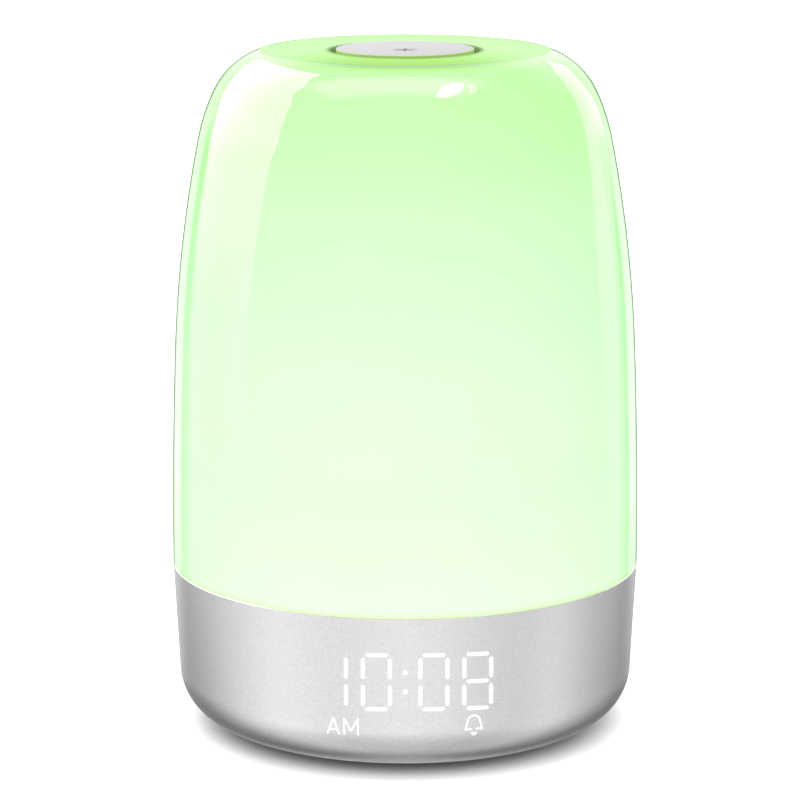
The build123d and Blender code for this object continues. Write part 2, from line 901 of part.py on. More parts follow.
def bottom_cover():
    cover = rod(cover_radius, cover_under, cover_under + cover_rim_wall)
    cover += rod(cover_land, cover_under, cover_top)
    recess = big_screw_head + 0.3
    for angle in post_angles:
        x, y = on_circle(post_circle, angle)
        cover += rod(post_radius + boss_wall, cover_under, collar_top, x, y)
        cover -= rod(recess, cover_under - 1, collar_top - 1.6, x, y)
        cover -= rod(big_screw_radius + board_hole_gap, cover_under - 1, collar_top + 1, x, y)
    for angle in speaker_screw_angles:
        x, y = on_circle(speaker_screw_circle, angle, 0, speaker_y)
        cover += rod(small_screw_radius + boss_wall, cover_under + 0.5, flange_back, x, y)
        cover -= rod(small_screw_radius + running_gap, cover_top - 1, flange_back + 1, x, y)
    cover -= at_speaker(rod(speaker_radius + fit_gap, cover_top, flange_back + 1))
    for index in range(grille_slot_count):
        offset = grille_pitch * (index - (grille_slot_count - 1) / 2)
        slot = SlotOverall(2 * sqrt(cone_radius**2 - offset**2), grille_slot_width)
        cover -= at_speaker(Pos(0, offset, cover_under - 1) * extrude(slot, cover_wall + 2))
    for angle in foot_angles:
        pocket = extrude(Rot(0, 0, angle) * foot_shape(foot_width + fit_gap), foot_height)
        cover -= pocket
    return cover


def bottom_screws():
    seat = collar_top - 1.6
    one = Rot(180, 0, 0) * screw(big_screw_radius, 1.6 + 8.0, big_screw_head)
    spots = [on_circle(post_circle, angle) for angle in post_angles]
    return group([Pos(x, y, seat) * one for x, y in spots])


def feet():
    foot = extrude(foot_shape(foot_width), foot_height)
    return group([Rot(0, 0, angle) * foot for angle in foot_angles])


def led_lead():
    x, y = led_wire_spot
    plug_x, plug_y = plug_spots["led"]
    drop = deck_table_top - main_board_top - plug_height
    return lead(
        (x, y, deck_table_top),
        (x, y, deck_table_top - 0.32 * drop),
        (plug_x, plug_y, deck_table_top - 0.68 * drop),
        (plug_x, plug_y, main_board_top + plug_height),
    )


nodes = {
    "base_shell": base_shell,
    "diffuser_dome": diffuser_dome,
    "dome_screws": dome_screws,
    "light_button": light_button,
    "button_clip": button_clip,
    "top_switch": top_switch,
    "top_switch_plunger": top_switch_plunger,
    "top_board": top_board,
    "top_board_screws": top_board_screws,
    "switch_column": switch_column,
    "top_lead": top_lead,
    "led_deck": led_deck,
    "led_board": led_board,
    "led_emitters": led_emitters,
    "led_board_screws": led_board_screws,
    "led_lead": led_lead,
    "main_board": main_board,
    "main_board_screws": main_board_screws,
    "main_board_chips": main_board_chips,
    "main_board_capacitors": main_board_capacitors,
    "main_board_connectors": main_board_connectors,
    "display_film": display_film,
    "display_reflector": display_reflector,
    "display_leds": display_leds,
    "display_board": display_board,
    "display_screws": display_screws,
    "display_ribbon": display_ribbon,
    "key_board": key_board,
    "key_board_screws": key_board_screws,
    "key_switches": key_switches,
    "key_ribbon": key_ribbon,
    "usb_socket": usb_socket,
    "speaker_frame": speaker_frame,
    "speaker_pot": speaker_pot,
    "speaker_magnet": speaker_magnet,
    "speaker_plate": speaker_plate,
    "speaker_coil": speaker_coil,
    "speaker_cone": speaker_cone,
    "speaker_dust_cap": speaker_dust_cap,
    "speaker_surround": speaker_surround,
    "speaker_gasket": speaker_gasket,
    "speaker_screws": speaker_screws,
    "speaker_lead": speaker_lead,
    "battery_cell": battery_cell,
    "battery_pad": battery_pad,
    "battery_lead": battery_lead,
    "bottom_cover": bottom_cover,
    "bottom_screws": bottom_screws,
    "feet": feet,
}

os.makedirs("parts", exist_ok=True)
for name, make in nodes.items():
    export_step(make(), f"parts/{name}.step")
for name, x in zip(key_names, key_spots):
    export_step(key(x), f"parts/{name}_key.step")
    export_step(key_plunger(x), f"parts/{name}_key_plunger.step")
print(len(nodes) + 2 * len(key_names), "nodes")
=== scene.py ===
import json
import math

import bmesh
import bpy
from mathutils import Matrix, Vector


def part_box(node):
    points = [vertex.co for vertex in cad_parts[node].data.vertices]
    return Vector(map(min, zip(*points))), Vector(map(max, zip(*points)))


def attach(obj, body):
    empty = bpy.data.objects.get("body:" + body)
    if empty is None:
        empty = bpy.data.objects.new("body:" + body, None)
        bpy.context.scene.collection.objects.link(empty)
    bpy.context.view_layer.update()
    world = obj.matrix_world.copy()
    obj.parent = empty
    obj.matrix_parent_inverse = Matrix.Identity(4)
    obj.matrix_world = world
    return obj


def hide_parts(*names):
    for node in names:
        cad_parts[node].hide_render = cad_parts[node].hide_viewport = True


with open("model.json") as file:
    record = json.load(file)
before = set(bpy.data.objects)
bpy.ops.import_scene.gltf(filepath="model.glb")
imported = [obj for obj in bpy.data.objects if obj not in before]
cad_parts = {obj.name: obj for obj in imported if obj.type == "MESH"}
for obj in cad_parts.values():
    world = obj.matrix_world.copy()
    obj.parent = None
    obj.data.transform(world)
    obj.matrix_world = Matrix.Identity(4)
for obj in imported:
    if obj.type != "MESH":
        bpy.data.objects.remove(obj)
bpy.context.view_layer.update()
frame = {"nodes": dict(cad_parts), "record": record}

mm = 0.001  # the frame and the studio are in metres, the clock's own sizes in millimetres
scene = bpy.context.scene
print("clock frame loaded:", len(frame["nodes"]), "nodes")


# node helpers
def addNode(tree, kind, inputs=None, **settings):
    node = tree.nodes.new(kind)
    for key, value in settings.items():
        setattr(node, key, value)
    for socket, value in (inputs or {}).items():
        if isinstance(value, bpy.types.NodeSocket):
            tree.links.new(value, node.inputs[socket])
        else:
            node.inputs[socket].default_value = value
    return node


def calc(tree, operation, a, b=0.0, c=None, clamp=False):
    inputs = {0: a, 1: b} if c is None else {0: a, 1: b, 2: c}
    return addNode(tree, "ShaderNodeMath", inputs, operation=operation, use_clamp=clamp).outputs[0]


def spread(tree, value, low, high, newLow=0.0, newHigh=1.0, kind="LINEAR"):
    # stretches low..high onto newLow..newHigh, clamped
    inputs = {"Value": value, "From Min": low, "From Max": high, "To Min": newLow, "To Max": newHigh}
    return addNode(tree, "ShaderNodeMapRange", inputs, interpolation_type=kind).outputs[0]


def grey(value):
    # a single number stands for a grey
    return value if isinstance(value, tuple) else (value, value, value)


def ramp(tree, value, low, high, stops):
    # a colour ramp whose stops are given in the value's own units
    node = addNode(tree, "ShaderNodeValToRGB", {0: spread(tree, value, low, high)})
    points = node.color_ramp.elements
    for index, (stop, colour) in enumerate(stops):
        position = (stop - low) / (high - low)
        point = points[index] if index < 2 else points.new(position)
        point.position = position
        point.color = (*grey(colour), 1.0)
    return node.outputs[0]


def blendColours(tree, factor, first, second, kind="MIX"):
    node = addNode(tree, "ShaderNodeMix", {0: factor}, data_type="RGBA", blend_type=kind)
    for socket, value in ((node.inputs[6], first), (node.inputs[7], second)):
        if isinstance(value, bpy.types.NodeSocket):
            tree.links.new(value, socket)
        else:
            socket.default_value = (*value, 1.0)
    return node.outputs[2]


def timesColour(tree, colour, share):
    # a colour times a number
    shares = addNode(tree, "ShaderNodeCombineColor", {0: share, 1: share, 2: share}).outputs[0]
    return blendColours(tree, 1.0, colour, shares, "MULTIPLY")


def newMaterial(name, **fixed):
    # fixed values go straight on the shader's own sockets
    material = bpy.data.materials.new(name)
    material.use_nodes = True
    tree = material.node_tree
    shader = tree.nodes["Principled BSDF"]
    for socket, value in fixed.items():
        words = socket.replace("_", " ").title().replace("Ior", "IOR")
        shader.inputs[words].default_value = (*value, 1.0) if isinstance(value, tuple) else value
    spot = addNode(tree, "ShaderNodeTexCoord").outputs["Object"]
    return material, tree, shader, spot


noiseRange = (0.3, 0.7)  # where most of a noise's values lie


def noise(tree, spot, scale, detail=3.0, roughness=0.5):
    inputs = {"Vector": spot, "Scale": scale, "Detail": detail, "Roughness": roughness}
    return addNode(tree, "ShaderNodeTexNoise", inputs).outputs["Fac"]


def tinted(tree, shader, speck, dark, light, socket="Base Color"):
    stops = list(zip(noiseRange, (dark, light)))
    tree.links.new(ramp(tree, speck, 0, 1, stops), shader.inputs[socket])


def roughened(tree, shader, speck, low, high):
    tree.links.new(spread(tree, speck, *noiseRange, low, high), shader.inputs["Roughness"])


def bump(tree, shader, height, strength, distance):
    inputs = {"Height": height, "Strength": strength, "Distance": distance}
    tree.links.new(addNode(tree, "ShaderNodeBump", inputs).outputs[0], shader.inputs["Normal"])


# mesh helpers
def makeObject(name, points, faces, sharpness=30):
    mesh = bpy.data.meshes.new(name)
    mesh.from_pydata(points, [], faces)
    made = bmesh.new()
    made.from_mesh(mesh)
    bmesh.ops.recalc_face_normals(made, faces=made.faces)
    made.to_mesh(mesh)
    made.free()
    obj = bpy.data.objects.new(name, mesh)
    scene.collection.objects.link(obj)
    softenEdges(obj, sharpness)
    return obj


def softenEdges(obj, sharpness=30):
    obj.data.shade_smooth()
    obj.data.set_sharp_from_angle(angle=math.radians(sharpness))


def polar(radius, angle):
    return radius * math.cos(angle), radius * math.sin(angle)


def lathe(name, outline, steps=192, sharpness=30):
    # turns a closed outline of (radius, height) in millimetres about Z
    points, rings = [], []
    for radius, height in outline:
        if radius < 1e-6:
            points.append((0, 0, height * mm))
            rings.append([len(points) - 1] * steps)
            continue
        rings.append([len(points) + step for step in range(steps)])
        for step in range(steps):
            points.append((*polar(radius * mm, 2 * math.pi * step / steps), height * mm))
    faces = []
    for here, there in zip(rings, rings[1:] + rings[:1]):
        for step in range(steps):
            after = (step + 1) % steps
            corners = []
            for corner in (here[step], here[after], there[after], there[step]):
                if corner not in corners:
                    corners.append(corner)
            if len(corners) > 2:
                faces.append(corners)
    return makeObject(name, points, faces, sharpness)


def arc(centre, radius, start, end, steps):
    # points of an arc in the outline's plane, angles in degrees
    points = []
    for step in range(steps + 1):
        x, y = polar(radius, math.radians(start + (end - start) * step / steps))
        points.append((centre[0] + x, centre[1] + y))
    return points


def rounded(corners, steps):
    # an outline of (x, y, radius) corners, each with its radius as a fillet
    points = []
    count = len(corners)
    for index, (x, y, radius) in enumerate(corners):
        here = Vector((x, y))
        if radius <= 0:
            points.append((x, y))
            continue
        before = (Vector(corners[index - 1][:2]) - here).normalized()
        after = (Vector(corners[(index + 1) % count][:2]) - here).normalized()
        half = before.angle(after) / 2
        middle = here + (before + after).normalized() * (radius / math.sin(half))
        start = here + before * (radius / math.tan(half)) - middle
        turn = start.angle_signed(here + after * (radius / math.tan(half)) - middle)
        for step in range(steps + 1):
            c, s = polar(1, -turn * step / steps)
            points.append((middle.x + start.x * c - start.y * s, middle.y + start.x * s + start.y * c))
    return points


def slotOutline(width, tall, radius, inset=0.0):
    # a rectangle with round corners, a pill or a circle, about the middle
    steps = 8
    points = []
    for corner, (right, up) in enumerate(((1, 1), (-1, 1), (-1, -1), (1, -1))):
        x, y = right * (width / 2 - radius), up * (tall / 2 - radius)
        for step in range(steps + 1):
            px, py = polar(radius - inset, math.pi / 2 * (corner + step / steps))
            points.append((x + px, y + py))
    return [point for before, point in zip(points[-1:] + points, points) if math.dist(before, point) > 1e-6]


def column(name, rings, sharpness=30):
    # closes a stack of rings of points, in millimetres, with a fan at each end
    count = len(rings[0])
    points = [Vector(point) * mm for ring in rings for point in ring]
    faces = []
    for level in range(len(rings) - 1):
        for step in range(count):
            here, after = level * count + step, level * count + (step + 1) % count
            faces.append((here, after, after + count, here + count))
    for first in (0, (len(rings) - 1) * count):
        points.append(sum(points[first:first + count], Vector()) / count)
        for step in range(count):
            faces.append((first + step, first + (step + 1) % count, len(points) - 1))
    return makeObject(name, points, faces, sharpness)


def carve(obj, tool, operation="DIFFERENCE"):
    # cuts tool out of obj, or adds it, and removes the tool
    cut = obj.modifiers.new("cut", "BOOLEAN")
    cut.operation = operation
    cut.solver = "EXACT"
    cut.object = tool
    graph = bpy.context.evaluated_depsgraph_get()
    mesh = bpy.data.meshes.new_from_object(obj.evaluated_get(graph))
    obj.modifiers.clear()
    old = obj.data
    obj.data = mesh
    mesh.name = obj.name
    bpy.data.meshes.remove(old)
    bpy.data.objects.remove(tool)


def joined(name, objects):
    # one object from several closed meshes that don't touch
    made = bmesh.new()
    for obj in objects:
        made.from_mesh(obj.data)
        bpy.data.objects.remove(obj)
    mesh = bpy.data.meshes.new(name)
    made.to_mesh(mesh)
    made.free()
    obj = bpy.data.objects.new(name, mesh)
    scene.collection.objects.link(obj)
    return obj


def moveSideways(obj, x, y):
    obj.data.transform(Matrix.Translation((x * mm, y * mm, 0)))


def place(obj, body, slot, material, *replaced):
    obj.data.materials.clear()
    obj.data.materials.append(material)
    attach(obj, body)
    if replaced:
        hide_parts(*replaced)


# camera
camera = dict(place=(0.0, -0.7218, 0.2246), tilt=77.88, lens=155.17, shift=-0.0064)

cameraData = bpy.data.cameras.new("clockCamera")
cameraData.lens = camera["lens"]
cameraData.sensor_width = 36.0
cameraData.shift_x = camera["shift"]
cameraData.clip_start = 0.01
cameraData.clip_end = 50.0
cameraObject = bpy.data.objects.new("clockCamera", cameraData)
cameraObject.location = camera["place"]
cameraObject.rotation_euler = (math.radians(camera["tilt"]), 0, 0)
scene.collection.objects.link(cameraObject)
scene.camera = cameraObject
scene.view_settings.view_transform = "Standard"

# studio
studio = dict(
    floorSize=8.0,
    floorShade=0.8,
    backdrop=1.0,
    # soft light on matt things: degrees above the horizon, brightness
    roomLight=((0, 0.7), (12, 1.2), (25, 2.0), (40, 2.8), (90, 3.1)),
    fromTheFloor=0.15,  # share of the room's reflections that is left by way of the floor
    floorBeside=0.5,  # how much brighter the floor is out to the sides than in front
    besideTurn=(55, 95),  # where that sets in and is full, in degrees round the room and down
    besideRise=(-30, -45),
    horizon=(-18, -13),  # the base reflects what is lower, the dome what is higher
    flagTop=(-1, 6),  # the dark flag behind ends here
    ceiling=0.5,
    ceilingRise=(32, 46),
    cardDistance=1.2,
    cardMiddle=0.09,
)
# brightness round the room as the silver base sees it: degrees from the front, brightness
lowRing = (
    (-180, 0.62),
    (-170, 0.4),
    (-158, 0.06),
    (-138, 0.02),
    (-128, 0.03),
    (-107, 0.42),
    (-84, 0.84),
    (-68, 1.17),
    (-45, 0.96),
    (-30, 0.92),
    (0, 1.13),
    (30, 0.92),
    (50, 0.7),
    (66, 0.64),
    (79, 1.0),
    (95, 0.64),
    (108, 0.43),
    (120, 0.26),
    (134, 0.08),
    (150, 0.02),
    (158, 0.06),
    (170, 0.4),
    (180, 0.62),
)
# how much of it is left below the horizon: degrees, share
downwardShare = (
    (-90, 0.54),
    (-62, 0.51),
    (-47, 0.55),
    (-38, 0.82),
    (-31, 0.98),
    (-26, 1.0),
    (-18, 0.97),
    (0, 1.0),
)
# the same for the glossy dome: a dark flag behind, white either side of it, then a dark gap
highRing = (
    (0, 0.5),
    (110, 0.45),
    (120, 0.65),
    (131, 0.7),
    (135, 0.05),
    (143.5, 0.05),
    (147.5, 1.2),
    (161.5, 1.2),
    (165, 0.03),
    (180, 0.03),
)
backWall = ((0, 0.5), (110, 0.5), (142, 1.2), (180, 1.25))  # what stands above the flag


def lightTheRoom():
    world = bpy.data.worlds.new("studioRoom")
    scene.world = world
    world.use_nodes = True
    tree = world.node_tree
    tree.nodes.clear()
    way = addNode(tree, "ShaderNodeTexCoord").outputs["Generated"]
    x, y, z = addNode(tree, "ShaderNodeSeparateXYZ", {0: way}).outputs
    turn = calc(tree, "DEGREES", calc(tree, "ARCTAN2", x, calc(tree, "MULTIPLY", y, -1.0)))
    rise = calc(tree, "DEGREES", calc(tree, "ARCSINE", z))
    aside = calc(tree, "ABSOLUTE", turn)

    low = ramp(tree, turn, -180, 180, lowRing)
    low = blendColours(tree, 1.0, low, ramp(tree, rise, -90, 0, downwardShare), "MULTIPLY")
    besideTurn = spread(tree, aside, *studio["besideTurn"])
    beside = calc(tree, "MULTIPLY", besideTurn, spread(tree, rise, *studio["besideRise"]))
    low = timesColour(tree, low, calc(tree, "MULTIPLY_ADD", beside, studio["floorBeside"], 1.0))

    high = ramp(tree, aside, 0, 180, highRing)
    wall = ramp(tree, aside, 0, 180, backWall)
    high = blendColours(tree, spread(tree, rise, *studio["flagTop"]), high, wall)
    high = blendColours(tree, spread(tree, rise, *studio["ceilingRise"]), high, grey(studio["ceiling"]))

    glossy = blendColours(tree, spread(tree, rise, *studio["horizon"]), low, high)
    paths = addNode(tree, "ShaderNodeLightPath").outputs
    # the floor gets little of these reflections, so the shadow at the base's foot stays deep
    bounced = spread(tree, paths["Diffuse Depth"], 0, 1, 1.0, studio["fromTheFloor"])
    glossy = timesColour(tree, glossy, bounced)
    soft = ramp(tree, rise, 0, 90, studio["roomLight"])
    colour = blendColours(tree, paths["Is Glossy Ray"], soft, glossy)
    colour = blendColours(tree, paths["Is Camera Ray"], colour, grey(studio["backdrop"]))
    background = addNode(tree, "ShaderNodeBackground", {"Color": colour})
    addNode(tree, "ShaderNodeOutputWorld", {0: background.outputs[0]})


def sheet(name, halfWidth, halfDepth):
    corners = [
        (-halfWidth, -halfDepth, 0),
        (halfWidth, -halfDepth, 0),
        (halfWidth, halfDepth, 0),
        (-halfWidth, halfDepth, 0),
    ]
    return makeObject(name, corners, [(0, 1, 2, 3)])


def layTheFloor():
    floor = sheet("floor", studio["floorSize"] / 2, studio["floorSize"] / 2)
    shade = grey(studio["floorShade"])
    material, tree, shader, spot = newMaterial("paleFloor", base_color=shade, roughness=0.7)
    roughened(tree, shader, noise(tree, spot, 3.0), 0.66, 0.74)
    # seen from below, the floor is clear
    back = addNode(tree, "ShaderNodeNewGeometry").outputs["Backfacing"]
    clear = addNode(tree, "ShaderNodeBsdfTransparent").outputs[0]
    mixed = addNode(tree, "ShaderNodeMixShader", {0: back, 1: shader.outputs[0], 2: clear})
    tree.links.new(mixed.outputs[0], tree.nodes["Material Output"].inputs[0])
    floor.data.materials.append(material)
    floor.visible_glossy = False


def towards(turn, rise, far):
    # a point on the ball of light cards; 0 degrees is the front, and rise is above the horizon
    across, height = polar(far, math.radians(rise))
    x, y = polar(across, math.radians(turn - 90))
    return x, y, studio["cardMiddle"] + height


def glowingCard(card):
    # only reflections show the cards, and a card adds its light to the room behind it,
    # so a faded edge is clear and not black
    material = bpy.data.materials.new(card.name)
    material.use_nodes = True
    tree = material.node_tree
    tree.nodes.clear()
    glow = addNode(tree, "ShaderNodeEmission")
    clear = addNode(tree, "ShaderNodeBsdfTransparent")
    both = addNode(tree, "ShaderNodeAddShader", {0: clear.outputs[0], 1: glow.outputs[0]})
    addNode(tree, "ShaderNodeOutputMaterial", {0: both.outputs[0]})
    card.data.materials.append(material)
    card.visible_camera = False
    card.visible_diffuse = False
    card.visible_transmission = False
    card.visible_shadow = False
    return tree, glow.inputs


def lightCard(name, rows, brightness, fade=None, far=studio["cardDistance"]):
    # rows are (rise, one edge, other edge) in degrees; fade is the colour over rise
    steps = 24
    points, faces = [], []
    for rise, first, last in rows:
        points += [towards(first + (last - first) * step / steps, rise, far) for step in range(steps + 1)]
    for row in range(len(rows) - 1):
        for step in range(steps):
            corner = row * (steps + 1) + step
            faces.append((corner, corner + 1, corner + steps + 2, corner + steps + 1))
    tree, glow = glowingCard(makeObject(name, points, faces))
    glow["Strength"].default_value = brightness
    if fade:
        spot = addNode(tree, "ShaderNodeNewGeometry").outputs["Position"]
        height = addNode(tree, "ShaderNodeSeparateXYZ", {0: spot}).outputs[2]
        height = calc(tree, "SUBTRACT", height, studio["cardMiddle"])
        rise = calc(tree, "DEGREES", calc(tree, "ARCSINE", calc(tree, "DIVIDE", height, far)))
        tree.links.new(ramp(tree, rise, -60, 90, fade), glow["Color"])


leftSoftbox = dict(
    rows=(
        (-30, -136, -84),
        (-12, -135, -83),
        (-6, -134, -83),
        (3, -135, -81),
        (8, -137, -79),
        (12, -143, -77),
        (15, -145, -76),
        (18, -149, -76),
        (20, -160, -76),
        (22, -165, -77),
        (29, -161, -78),
        (38, -156, -81),
        (47, -150, -94),
        (52, -148, -101),
        (56, -145, -108),
        (57.5, -144, -130),
    ),
    brightness=5.0,
    fade=((-60, 0.0), (-20, 0.0), (-12, 0.03), (-5, 0.12), (2, 0.42), (10, 0.75), (18, 1.0), (90, 1.0)),
)
rightStrip = dict(
    rows=(
        (-30, 116, 139),
        (-13, 116, 136),
        (-8, 113, 134),
        (-4, 112, 137),
        (0, 114, 144),
        (4, 118, 148),
        (12, 122, 147),
        (18, 125, 150),
        (20, 126, 158),
        (25, 130, 163),
        (27, 131, 159),
        (29, 138, 154),
        (31, 146, 149),
    ),
    brightness=1.7,
    fade=((-60, 0.0), (-18, 0.0), (-8, 0.2), (0, 0.7), (8, 1.0), (90, 1.0)),
)
roundLamp = dict(
    rows=(
        (65.5, 40, 44),
        (66, 37, 49),
        (67.5, 36, 62),
        (69, 36, 75),
        (71, 38, 104),
        (72, 42, 115),
        (74, 50, 118),
        (76.5, 64, 105),
        (78, 74, 80),
    ),
    brightness=10.0,
    far=1.1,
)
smallLamp = dict(
    rows=((63.5, 66, 74), (65, 70, 88), (67, 80, 104), (68.5, 92, 110), (70, 100, 106)),
    brightness=4.0,
    far=1.1,
)
topLight = dict(height=1.25, middle=-0.12, halfWidth=0.75, halfDepth=0.48, softEdge=0.32, brightness=3.4)
frontLight = dict(spot=(-0.25, -1.3, 0.55), aim=(0, 0, 0.07), size=0.9, watts=40.0)


def hangTheTopLight():
    # a wide soft light overhead, brightest in the middle
    width, depth, edge = topLight["halfWidth"], topLight["halfDepth"], topLight["softEdge"]
    card = sheet("topLight", width, depth)
    card.location = (topLight["middle"], 0, topLight["height"])
    tree, glow = glowingCard(card)
    spot = addNode(tree, "ShaderNodeTexCoord").outputs["Object"]
    x, y, _ = addNode(tree, "ShaderNodeSeparateXYZ", {0: spot}).outputs
    across = spread(tree, calc(tree, "ABSOLUTE", x), width, width - edge, kind="SMOOTHSTEP")
    along = spread(tree, calc(tree, "ABSOLUTE", y), depth, depth - edge, kind="SMOOTHSTEP")
    strength = calc(tree, "MULTIPLY", calc(tree, "MULTIPLY", across, along), topLight["brightness"])
    tree.links.new(strength, glow["Strength"])


def hangTheFrontLight():
    # a fill for the dome that leaves the floor's shadow alone
    data = bpy.data.lights.new("frontLight", "AREA")
    data.shape = "DISK"
    data.size = frontLight["size"]
    data.energy = frontLight["watts"]
    light = bpy.data.objects.new("frontLight", data)
    light.location = frontLight["spot"]
    aim = Vector(frontLight["aim"]) - light.location
    light.rotation_euler = aim.to_track_quat("-Z", "Y").to_euler()
    light.visible_glossy = False
    light.light_linking.receiver_collection = domeOnly
    scene.collection.objects.link(light)


domeOnly = bpy.data.collections.new("domeOnly")
lightTheRoom()
layTheFloor()
lightCard("leftSoftbox", **leftSoftbox)
lightCard("rightStrip", **rightStrip)
lightCard("roundLamp", **roundLamp)
lightCard("smallLamp", **smallLamp)
hangTheTopLight()
hangTheFrontLight()
print("studio lit")

# dome
dome = dict(
    seam=35.0,
    radius=50.0,
    sideTurn=2.4,
    shoulder=((282.0, 9.1, 12), (43.0, 13.7, 12), (16.3, 47.5, 24)),  # radius, degrees, steps
    wall=2.2,
    pocketRadius=15.6,
    pocketFloor=141.25,
    pocketWall=2.0,
    bushEnd=137.85,
    holeRadius=3.05,
    bushRadius=5.0,
    flangeTop=35.8,
    flangeInner=40.6,
    spigotUnder=33.2,
    spigotRadius=47.8,
    seamChamfer=0.18,
    pocketEdge=0.25,
    bossCircle=43.4,
    bossRadius=2.6,
    bossHeight=3.6,
    bossRoof=1.0,
    screwBore=1.3,
    topBossReach=8.4,
    topBossRadius=2.2,
    topBore=0.9,
    topBoreDepth=4.5,
    switchUnder=131.9,
)
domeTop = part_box("diffuser_dome")[1].z / mm
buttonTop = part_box("light_button")[1].z / mm


def domeSide(inset, foot):
    # the long side arc and the shoulder's arcs, moved in by inset, from foot to the crease
    climb, heading = 0.0, math.radians(dome["sideTurn"])
    for radius, turn, _ in dome["shoulder"]:
        climb += radius * (math.sin(heading + math.radians(turn)) - math.sin(heading))
        heading += math.radians(turn)
    sideRadius = (domeTop - dome["seam"] - climb) / math.sin(math.radians(dome["sideTurn"]))
    centre = Vector((dome["radius"] - sideRadius, dome["seam"]))
    start = math.degrees(math.asin((foot - dome["seam"]) / (sideRadius - inset)))
    points = arc(centre, sideRadius - inset, start, dome["sideTurn"], 16)
    heading = dome["sideTurn"]
    before = sideRadius
    for radius, turn, steps in dome["shoulder"]:
        centre = centre + Vector(polar(1, math.radians(heading))) * (before - radius)
        points += arc(centre, radius - inset, heading, heading + turn, steps)[1:]
        heading += turn
        before = radius
    return points


def makeDome():
    chamfer, edge = dome["seamChamfer"], dome["pocketEdge"]
    outer = domeSide(0, dome["seam"] + chamfer)
    inner = domeSide(dome["wall"], dome["flangeTop"])
    pocketOuter = dome["pocketRadius"] + dome["pocketWall"]
    floorUnder = dome["pocketFloor"] - dome["pocketWall"]
    crown = arc((dome["pocketRadius"] + edge, domeTop - edge), edge, 90, 180, 4)
    outline = [
        *outer,
        *crown,
        (dome["pocketRadius"], dome["pocketFloor"]),
        (dome["holeRadius"], dome["pocketFloor"]),
        (dome["holeRadius"], dome["bushEnd"]),
        (dome["bushRadius"], dome["bushEnd"]),
        (dome["bushRadius"], floorUnder),
        (pocketOuter, floorUnder),
        (pocketOuter, inner[-1][1]),
        *reversed(inner),
        (dome["flangeInner"], dome["flangeTop"]),
        (dome["flangeInner"], dome["spigotUnder"]),
        (dome["spigotRadius"], dome["spigotUnder"]),
        (dome["spigotRadius"], dome["seam"]),
        (outer[0][0] - chamfer, dome["seam"]),
    ]
    shell = lathe("domeShell", outline, 256, 35)
    # the screw bosses at the foot, then the two under the pocket that hold the switch's board
    under, top = dome["spigotUnder"], dome["flangeTop"] + dome["bossHeight"]
    for quarter in range(4):
        spot = polar(dome["bossCircle"], math.radians(45 + 90 * quarter))
        carve(shell, post(spot, dome["bossRadius"], under + 0.01, top, 32), "UNION")
        carve(shell, post(spot, dome["screwBore"], under - 1, top - dome["bossRoof"], 24))
    under = dome["switchUnder"]
    for side in (-1, 1):
        spot = (side * dome["topBossReach"], 0)
        carve(shell, post(spot, dome["topBossRadius"], under, floorUnder + 0.5, 32), "UNION")
        carve(shell, post(spot, dome["topBore"], under - 1, under + dome["topBoreDepth"], 24))
    softenEdges(shell, 35)
    return shell


def post(spot, radius, low, high, steps):
    obj = lathe("post", [(0, low), (radius, low), (radius, high), (0, high)], steps)
    moveSideways(obj, *spot)
    return obj


domeGlow = dict(
    strength=2.0,  # the lamp's colours below are half as bright as its light
    # by height
    side=(
        (30, (0.30, 0.47, 0.18)),
        (35.0, (0.30, 0.47, 0.18)),
        (36.3, (0.328, 0.54, 0.293)),
        (48, (0.319, 0.54, 0.277)),
        (59, (0.298, 0.53, 0.268)),
        (70, (0.30, 0.53, 0.26)),
        (81, (0.29, 0.53, 0.256)),
        (92, (0.27, 0.525, 0.24)),
        (103, (0.2525, 0.52, 0.213)),
        (114, (0.237, 0.51, 0.187)),
        (124.5, (0.21, 0.51, 0.148)),
        (135.5, (0.185, 0.51, 0.1125)),
        (141, (0.172, 0.51, 0.102)),
        (145, (0.177, 0.51, 0.10)),
    ),
    # by distance from the middle, on the flat crown, with painted shade: dark in the gap round the button and
    # in the crease
    crown=(
        (0, (0.08, 0.15, 0.01)),
        (15.4, (0.03, 0.08, 0.0)),
        (15.9, (0.03, 0.08, 0.0)),
        (17, (0.08, 0.21, 0.0)),
        (18.5, (0.16, 0.36, 0.01)),
        (24, (0.12, 0.305, 0.0)),
        (28, (0.115, 0.29, 0.0)),
        (29.6, (0.07, 0.215, 0.0)),
        (30.8, (0.06, 0.21, 0.0)),
        (32.0, (0.14, 0.38, 0.02)),
        (33.6, (0.185, 0.50, 0.10)),
    ),
    crownBackPaintedLight=(0.23, 0.42, 0.15),  # painted light: the crown's sides and back are painted paler than its front
    crownFront=-24,  # the middle of the crown's front
    crownFade=(7, 33),  # how far from there the back's colour starts and is full
    pocketFade=(0.3, 1.5),  # the same, out from the pocket's edge
    crownRimPaintedShade=(0.5, 0.6, 0.5),  # painted shade: what is left of the colour on the far rim, where a dark line is painted
    rimWidth=1.0,
    rimFade=0.3,
    rimBehind=(4, 12),  # how far behind the middle the rim's dimming starts and is full
    crownHeight=(141.5, 143.2),  # where the side's colours give way to the crown's
    crownReach=(3.6, 1.6),  # the same, out from the crease
    cloudiness=0.015,
    shade=(0.07, 0.08, 0.07),
    polishedCoat=1.0,
    crownCoat=0.05,
    crownDepth=4.0,  # how far under the top the duller crown may reach, inside the crease
)


